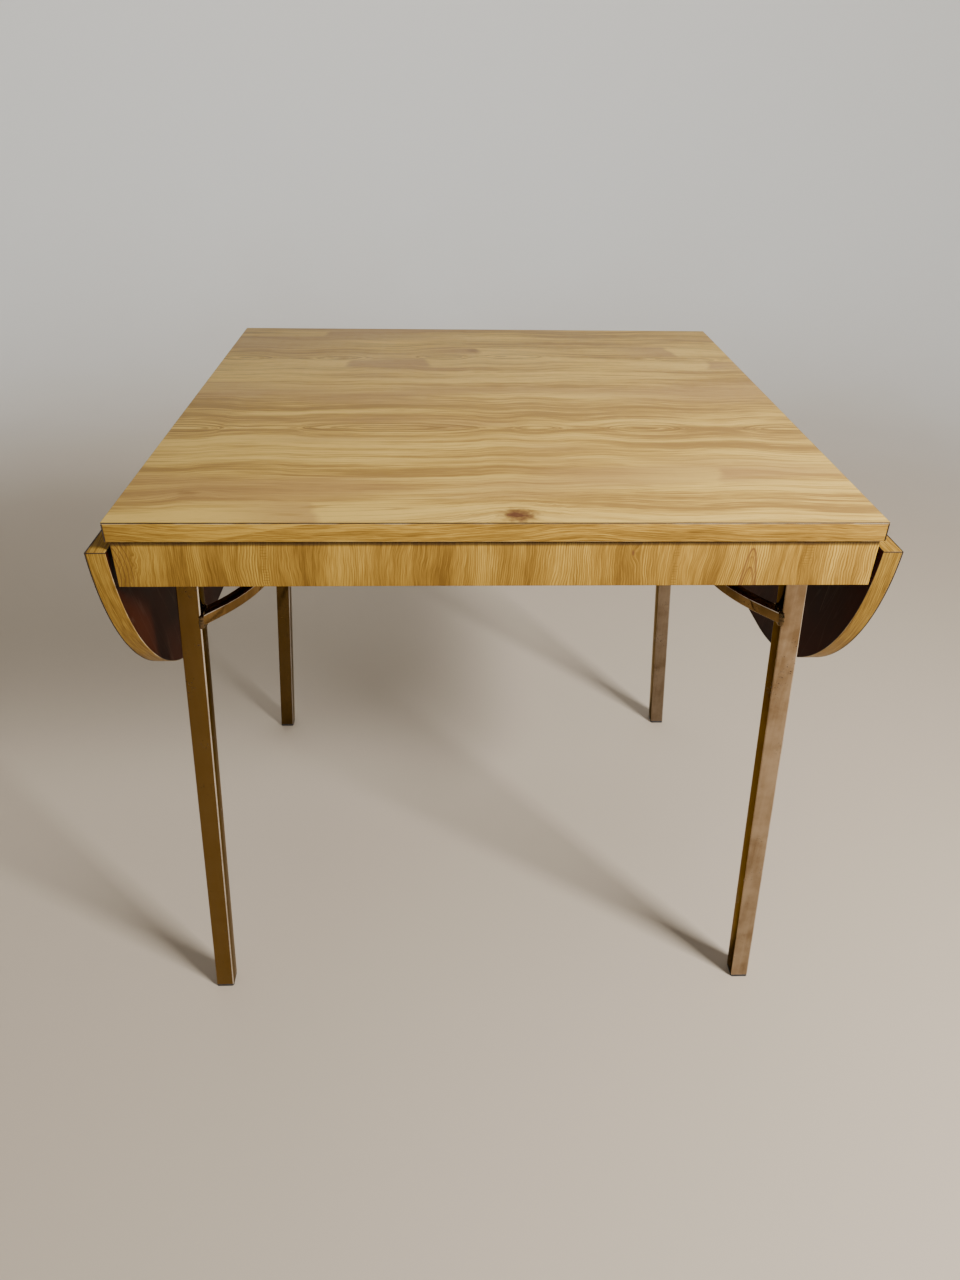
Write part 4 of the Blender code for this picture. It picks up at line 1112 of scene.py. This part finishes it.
def stretcher_loops(name, size, radius, metal):
    """Loops of a stretcher's section, with its ends cut along the legs' inner faces."""
    low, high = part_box(name + "_stretcher")
    height = (low.z + high.z) / 2
    leg, side = "front_%s_leg" % name, SIDES[name]
    path = stretcher_path(name, height, metal)
    loops = []
    for number, ((out, along), turn) in enumerate(path):
        loop = []
        for a, b in rounded_square(size, radius):
            x, y, z = out + a * cos(turn), along + a * sin(turn), height + b
            if number in (0, len(path) - 1):
                face = abs(leg_middle(leg, side, z).x) - leg_size(leg) / 2
                shift = (face - x) / sin(turn)
                x, y = x + shift * sin(turn), y - shift * cos(turn)
            loop.append(Vector((side * x, y, z)))
        loops.append(loop)
    return loops


class DROPLEAF_OT_stretchers(Operator):
    """Bend the chrome stretchers and weld them to the legs"""
    bl_idname = "drop_leaf.stretchers"
    bl_label = "Stretchers"

    def execute(self, context):
        metal = context.scene.table_metal
        for name, side in SIDES.items():
            node = name + "_stretcher"
            low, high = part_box(node)
            size = high.z - low.z
            outer = stretcher_loops(name, size, metal.stretcher_round, metal)
            inner = stretcher_loops(name, size - 2 * metal.stretcher_wall,
                                    metal.stretcher_round - metal.stretcher_wall / 2, metal)
            shape = bmesh.new()
            tube(shape, outer, inner, STRETCHER_FLATS, STRETCHER_CORNERS)
            place_piece(node + "_tube", shape, STRETCHER_FINISHES, BODIES[node], (node,))
            shape = bmesh.new()
            for loop in (outer[0], outer[-1]):
                bead(shape, loop, Vector((-side, 0, 0)), metal.weld)
            place_piece(node + "_welds", shape, ("weld_chrome",), BODIES[node])
        return {"FINISHED"}


LEAF_STEPS, LEAF_RADIUS = 48, 0.280
RIM_SIDES = (2, 0, 2, 1, 1, 1)


class LeafShape:
    """Outline of a hanging leaf, read from its CAD nodes."""

    def __init__(self, name):
        self.side = SIDES[name]
        low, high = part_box(name + "_leaf_laminate")
        self.top = high.z
        self.centre_down = high.z - low.z - LEAF_RADIUS
        self.centre_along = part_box("top_laminate")[1].y - LEAF_RADIUS
        self.sheet, self.face = sorted((abs(low.x), abs(high.x)))
        rim_low, rim_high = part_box(name + "_leaf_rim")
        self.inner, self.outer = sorted((abs(rim_low.x), abs(rim_high.x)))
        self.cover = self.top - rim_high.z
        self.strip = high.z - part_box(name + "_leaf_joint_strip")[0].z

    def outline(self, inset, start):
        """Points of the rim as (along, height), moved in by inset and begun below the joint edge."""
        radius = LEAF_RADIUS - inset
        first = asin(max(start - self.centre_down, 0.0) / radius)
        half = []
        for i in range(LEAF_STEPS + 1):
            turn = first + (pi / 2 - first) * i / LEAF_STEPS
            half.append((self.centre_along + radius * cos(turn),
                         self.top - self.centre_down - radius * sin(turn)))
        return [(-along, z) for along, z in half] + list(reversed(half))

    def point(self, out, along, height):
        """World point at a distance out from the table's middle."""
        return Vector((self.side * out, along, height))

    def slab(self, shape, depths, inset, start, arris, material):
        """A flat sheet between two depths, with a small arris on its outer face."""
        near, far = depths
        edge = self.outline(inset, start)
        face = self.outline(inset + arris, start + arris)
        loops = [[self.point(out, *p) for p in points] for out, points in
                 ((near, edge), (far - arris, edge), (far, face))]
        rows = skin(shape, loops, capped=False, material=material)
        shape.faces.new(rows[0]).material_index = material
        shape.faces.new(rows[-1]).material_index = 0


class DROPLEAF_OT_leaves(Operator):
    """Make the hanging leaves"""
    bl_idname = "drop_leaf.leaves"
    bl_label = "Leaves"

    def execute(self, context):
        arris = context.scene.table_print.arris
        for name in SIDES:
            leaf = LeafShape(name)
            body = name + "_leaf"
            shape = bmesh.new()
            leaf.slab(shape, (leaf.sheet, leaf.face), 0.0, 0.0, arris, 1)
            place_piece(body + "_sheet", shape, (body + "_print", "cut_edge"), body, (body + "_laminate",))
            low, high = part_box(body + "_backer")
            near, far = sorted((abs(low.x), abs(high.x)))
            shape = bmesh.new()
            leaf.slab(shape, (far, near + arris), leaf.cover, leaf.cover, -arris, 0)
            place_piece(body + "_underside", shape, ("brown_backing",), body, (body + "_backer",))
            self.make_rim(body, leaf, arris)
            rounded_copy(body + "_joint_strip", arris, ("joint_strip_print", "cut_edge", "cut_edge"),
                         lambda face: strip_part(face, 2))
            keep_node(body + "_core", "raw_chipboard")
        return {"FINISHED"}

    def make_rim(self, body, leaf, arris):
        """The strip round a leaf's rim, with the way along it kept for the grain."""
        section = ((leaf.inner, arris), (leaf.inner + arris, 0.0), (leaf.outer - arris, 0.0),
                   (leaf.outer, arris), (leaf.outer, leaf.strip), (leaf.inner, leaf.strip))
        rings = [leaf.outline(inset, leaf.cover) for _, inset in section]
        stations = [[leaf.point(out, *ring[i]) for (out, _), ring in zip(section, rings)]
                    for i in range(len(rings[0]))]
        shape = bmesh.new()
        run = shape.verts.layers.float.new(RUN)
        rows = skin(shape, stations)
        way = 0.0
        for i, row in enumerate(rows):
            way += (stations[i][1] - stations[i - 1][1]).length if i else 0.0
            for vert in row:
                vert[run] = way
        shape.normal_update()
        numbers = {vert: k for row in rows for k, vert in enumerate(row)}
        for face in shape.faces:
            found = sorted({numbers[vert] for vert in face.verts})
            if len(found) == 2:
                first = found[1] if found == [0, len(section) - 1] else found[0]
                face.material_index = RIM_SIDES[first]
        finishes = ("rim_print", "cut_edge", "worn_arris")
        place_piece(body + "_rim_strip", shape, finishes, body, (body + "_rim",))


# Profiles of the turned pieces: a pin's end as (domes from the end, radii), a bolt's nose as (radii before
# its end, radii), and a knob as shares of its length and radius
PIN_DOME, PIN_END = 0.35, ((0, 0.55), (1, 0.9), (2, 1.0))
BOLT_NOSE = ((0.6, 1.0), (0.2, 0.8), (0.0, 0.45))
KNOB_STEPS, KNOB_BORE = 32, 1.1
KNOB_PROFILE = ((0.0, 0.80), (0.06, 0.92), (0.16, 0.92), (0.22, 0.72), (0.34, 0.70), (0.46, 0.90),
                (0.60, 1.0), (0.84, 1.0), (0.95, 0.86), (1.0, 0.55))


class DROPLEAF_OT_hinges(Operator):
    """Round the hinge plates and turn their pins"""
    bl_idname = "drop_leaf.hinges"
    bl_label = "Hinges"

    def execute(self, context):
        metal = context.scene.table_metal
        for corner in CORNERS:
            hinge = corner + "_hinge"
            for plate in ("_fixed_plate", "_leaf_plate"):
                rounded_copy(hinge + plate, metal.plate_round, ("spangled_zinc",))
            front, _, run, radius = round_bar(hinge + "_pin")
            end = [(domes * PIN_DOME * radius, width * radius) for domes, width in PIN_END]
            profile = end + [(run - along, width) for along, width in reversed(end)]
            turned(hinge + "_pin", "spangled_zinc", front, (0, 1, 0), profile)
        return {"FINISHED"}


class DROPLEAF_OT_stays(Operator):
    """Finish the stay arms, the bolt guides, the slide bolts and their knobs"""
    bl_idname = "drop_leaf.stays"
    bl_label = "Stays and bolts"

    def execute(self, context):
        metal = context.scene.table_metal
        for name in SIDES:
            for node in (name + "_stay_arm", name + "_bolt_guide"):
                rounded_copy(node, metal.plate_round, ("spangled_zinc",))
            front, _, run, bolt = round_bar(name + "_lock_bolt")
            profile = [(0, bolt)] + [(run - before * bolt, width * bolt) for before, width in BOLT_NOSE]
            turned(name + "_lock_bolt", "spangled_zinc", front, (0, 1, 0), profile)
            _, back, run, knob = round_bar(name + "_bolt_knob")
            profile = [(0, KNOB_BORE * bolt)] + [(along * run, width * knob) for along, width in KNOB_PROFILE]
            turned(name + "_bolt_knob", "moulded_black", back, (0, -1, 0), profile, KNOB_STEPS)
        return {"FINISHED"}


# A screw's head as (height, radius), its slot and the slot's floor, all in head radii, and the angle
# from one screw's slot to the next
SCREW_PROFILE = ((0.0, 1.0), (0.16, 0.98), (0.30, 0.82), (0.42, 0.45))
SCREW_STEPS, SCREW_TURN = 10, 2.4
SLOT_HALF, SLOT_DEPTH = 0.12, 0.55
SLOT_FLOOR = (0.94, 1.05 * SLOT_HALF)

# Where the screws sit on their plates
PAIR = (-0.5, 0.5)
KNUCKLE_RADIUS = 0.0045
HINGE_SCREW_DOWN, HINGE_SCREW_PITCH = 0.018, 0.036
LEG_SCREW_PITCH = 0.050
STAY_FOOT, STAY_SCREW_PITCH = (0.0025, 0.022, 0.034), 0.018
GUIDE_PLATE, GUIDE_SCREW_PITCH = 0.002, 0.014


def screw(shape, seat, out, radius, turn):
    """A round-headed slotted screw on a plate's face, with its slot turned."""
    seat, out = Vector(seat), Vector(out)
    across = Matrix.Rotation(turn, 3, out) @ out.orthogonal().normalized()
    beside = out.cross(across)
    first = asin(SLOT_HALF)
    turns = [first + (pi - 2 * first) * i / SCREW_STEPS for i in range(SCREW_STEPS + 1)]
    for way in (1, -1):
        loops = []
        for height, width in SCREW_PROFILE:
            points = [(width * cos(item), max(width * sin(item), SLOT_HALF)) for item in turns]
            loops.append([seat + (across * a * way + beside * b * way + out * height) * radius
                          for a, b in points])
        skin(shape, loops)
    a, b = SLOT_FLOOR
    floor = SCREW_PROFILE[-1][0] * (1 - SLOT_DEPTH)
    skin(shape, [[seat + (across * x + beside * y + out * height) * radius
                  for x, y in ((a, b), (-a, b), (-a, -b), (a, -b))] for height in (0.0, floor)])


class DROPLEAF_OT_screws(Operator):
    """Drive the screws through the plates"""
    bl_idname = "drop_leaf.screws"
    bl_label = "Screws"

    def execute(self, context):
        radius = context.scene.table_metal.screw_head
        shapes = {body: bmesh.new() for body in ("frame", "left_leaf", "right_leaf")}
        for number, (body, seat, out) in enumerate(self.seats()):
            screw(shapes[body], seat, out, radius, number * SCREW_TURN)
        for body, shape in shapes.items():
            place_piece(body + "_screws", shape, ("spangled_zinc",), body)
        return {"FINISHED"}

    def seats(self):
        """Body, place and direction of every screw."""
        found = []
        for corner, name in CORNERS.items():
            side = SIDES[name]
            low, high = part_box(corner + "_hinge_pin")
            middle = (low + high) / 2
            for body, toward in (("frame", -1), (name + "_leaf", 1)):
                x = middle.x + side * toward * KNUCKLE_RADIUS
                found += [(body, (x, middle.y + way * HINGE_SCREW_PITCH, middle.z - HINGE_SCREW_DOWN),
                           (-side * toward, 0, 0)) for way in PAIR]
            low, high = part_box(corner + "_leg_plate")
            middle = (low + high) / 2
            found += [("frame", (middle.x + a * LEG_SCREW_PITCH, middle.y + b * LEG_SCREW_PITCH, low.z),
                       (0, 0, -1)) for a in PAIR for b in PAIR]
        for name, side in SIDES.items():
            low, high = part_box(name + "_stay_arm")
            x = (high.x if side > 0 else low.x) - side * STAY_FOOT[0]
            y, z = high.y - STAY_FOOT[1] / 2, low.z + STAY_FOOT[2] / 2
            found += [(name + "_leaf", (x, y, z + way * STAY_SCREW_PITCH), (-side, 0, 0)) for way in PAIR]
            low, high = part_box(name + "_bolt_guide")
            apron_low, apron_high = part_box(name + "_apron")
            x, y, z = (apron_low.x + apron_high.x) / 2, (low.y + high.y) / 2, high.z - GUIDE_PLATE
            found += [("frame", (x, y + way * GUIDE_SCREW_PITCH, z), (0, 0, -1)) for way in PAIR]
        return found


# The floor's flat part, its bend up into the cove, the cove's height, and the floor's small middle
COVE_FLAT, COVE_BEND, COVE_HEIGHT = 2.6, 1.4, 3.0
COVE_STEPS, COVE_SIDES = 16, 96
FLOOR_MIDDLE, FLOOR_FADE, FLOOR_DULL = 0.01, 1.6, 0.7
FLOOR_CLOUD, FLOOR_DETAIL, FLOOR_UNEVEN = 1.5, 3.0, 0.4
BACK_LIGHT_AWAY = 1.6
SENSOR_MM, MM_PER_M = 36.0, 1000.0


class DROPLEAF_OT_stage(Operator):
    """Set the floor, the light and the camera"""
    bl_idname = "drop_leaf.stage"
    bl_label = "Stage"

    def execute(self, context):
        stage = context.scene.table_stage
        self.make_floor(context.scene, stage)
        self.make_light(context.scene, stage)
        self.make_camera(context.scene, stage)
        return {"FINISHED"}

    def make_floor(self, scene, stage):
        """A wide plain floor that curves up into a cove on every side."""
        reach = COVE_FLAT + COVE_BEND
        turns = [pi / 2 * i / COVE_STEPS for i in range(COVE_STEPS + 1)]
        bend = [(COVE_FLAT + COVE_BEND * sin(turn), COVE_BEND * (1 - cos(turn))) for turn in turns]
        profile = [(FLOOR_MIDDLE, 0.0)] + bend + [(reach, COVE_HEIGHT)]
        ring = circle(COVE_SIDES)
        shape = bmesh.new()
        skin(shape, [[Vector((radius * a, radius * b, z)) for a, b in ring] for radius, z in profile],
             capped=False)
        shape.faces.new([shape.verts.new((FLOOR_MIDDLE * a, FLOOR_MIDDLE * b, 0.0)) for a, b in ring])
        mesh = bpy.data.meshes.new("floor")
        shape.to_mesh(mesh)
        shape.free()
        mesh.shade_smooth()
        f = Finish("pale_floor")
        cloud = f.scaled(f.swing(f.place, FLOOR_CLOUD, FLOOR_DETAIL), FLOOR_UNEVEN, f.far(f.x, f.y))
        shade = f.mix(f.step(cloud, FLOOR_FADE, reach), stage.floor, stage.backdrop)
        mesh.materials.append(f.surface(base_color=shade, roughness=FLOOR_DULL))
        floor = bpy.data.objects.new("floor", mesh)
        scene.collection.objects.link(floor)

    def make_light(self, scene, stage):
        """Light from all round, a main light at the right front, soft ones overhead and on the cove."""
        world = bpy.data.worlds.new("studio_air")
        world.use_nodes = True
        background = world.node_tree.nodes["Background"]
        background.inputs["Color"].default_value = (*stage.air, 1.0)
        background.inputs["Strength"].default_value = stage.air_strength
        scene.world = world
        table = Vector((0, 0, PIN_Z))
        cove = Vector((0, COVE_FLAT + COVE_BEND, PIN_Z))
        overhead = Vector((0, 0, stage.top_height))
        behind = Vector((0, BACK_LIGHT_AWAY, stage.top_height))
        for name, watts, size, place, target in (
                ("key_light", stage.key_power, stage.key_size, Vector(stage.key_place), table),
                ("top_light", stage.top_power, stage.top_size, overhead, table),
                ("back_light", stage.back_power, stage.back_size, behind, cove)):
            light = bpy.data.lights.new(name, "AREA")
            light.energy = watts
            light.size = size
            lamp = bpy.data.objects.new(name, light)
            lamp.location = place
            lamp.rotation_euler = (target - place).to_track_quat("-Z", "Y").to_euler()
            scene.collection.objects.link(lamp)

    def make_camera(self, scene, stage):
        """The camera at the photograph's angle."""
        data = bpy.data.cameras.new("camera")
        data.sensor_width = SENSOR_MM
        data.lens = stage.focal * MM_PER_M
        camera = bpy.data.objects.new("camera", data)
        yaw, pitch, roll = stage.yaw, stage.pitch, stage.roll
        ahead = Vector((sin(yaw) * cos(pitch), cos(yaw) * cos(pitch), -sin(pitch)))
        right = Vector((cos(yaw), -sin(yaw), 0.0))
        down = ahead.cross(right)
        level = right * cos(roll) + down * sin(roll)
        up = right * sin(roll) - down * cos(roll)
        turn = Matrix((level, up, -ahead)).transposed().to_4x4()
        camera.matrix_world = Matrix.Translation(stage.place) @ turn
        scene.collection.objects.link(camera)
        scene.camera = camera


SETTINGS = {"table_print": TablePrintSettings, "table_backing": TableBackingSettings,
            "table_metal": TableMetalSettings, "table_stage": TableStageSettings}
OPERATORS = (DROPLEAF_OT_top, DROPLEAF_OT_aprons, DROPLEAF_OT_legs, DROPLEAF_OT_stretchers,
             DROPLEAF_OT_leaves, DROPLEAF_OT_hinges, DROPLEAF_OT_stays, DROPLEAF_OT_screws,
             DROPLEAF_OT_stage)


class DROPLEAF_PT_table(Panel):
    """Sizes, colours and pieces of the table"""
    bl_idname = "DROPLEAF_PT_table"
    bl_label = "Drop-leaf table"
    bl_space_type = "VIEW_3D"
    bl_region_type = "UI"
    bl_category = "Table"

    def draw(self, context):
        for name, group in SETTINGS.items():
            box = self.layout.box()
            for prop in group.__annotations__:
                box.prop(getattr(context.scene, name), prop)
        for operator in OPERATORS:
            self.layout.operator(operator.bl_idname)


CLASSES = (*SETTINGS.values(), *OPERATORS, DROPLEAF_PT_table)


def register():
    for item in CLASSES:
        bpy.utils.register_class(item)
    for name, group in SETTINGS.items():
        setattr(bpy.types.Scene, name, PointerProperty(type=group))


def unregister():
    for name in SETTINGS:
        delattr(bpy.types.Scene, name)
    for item in reversed(CLASSES):
        bpy.utils.unregister_class(item)


def main():
    register()
    for operator in OPERATORS:
        group, name = operator.bl_idname.split(".")
        getattr(getattr(bpy.ops, group), name)()


if __name__ == "__main__":
    main()
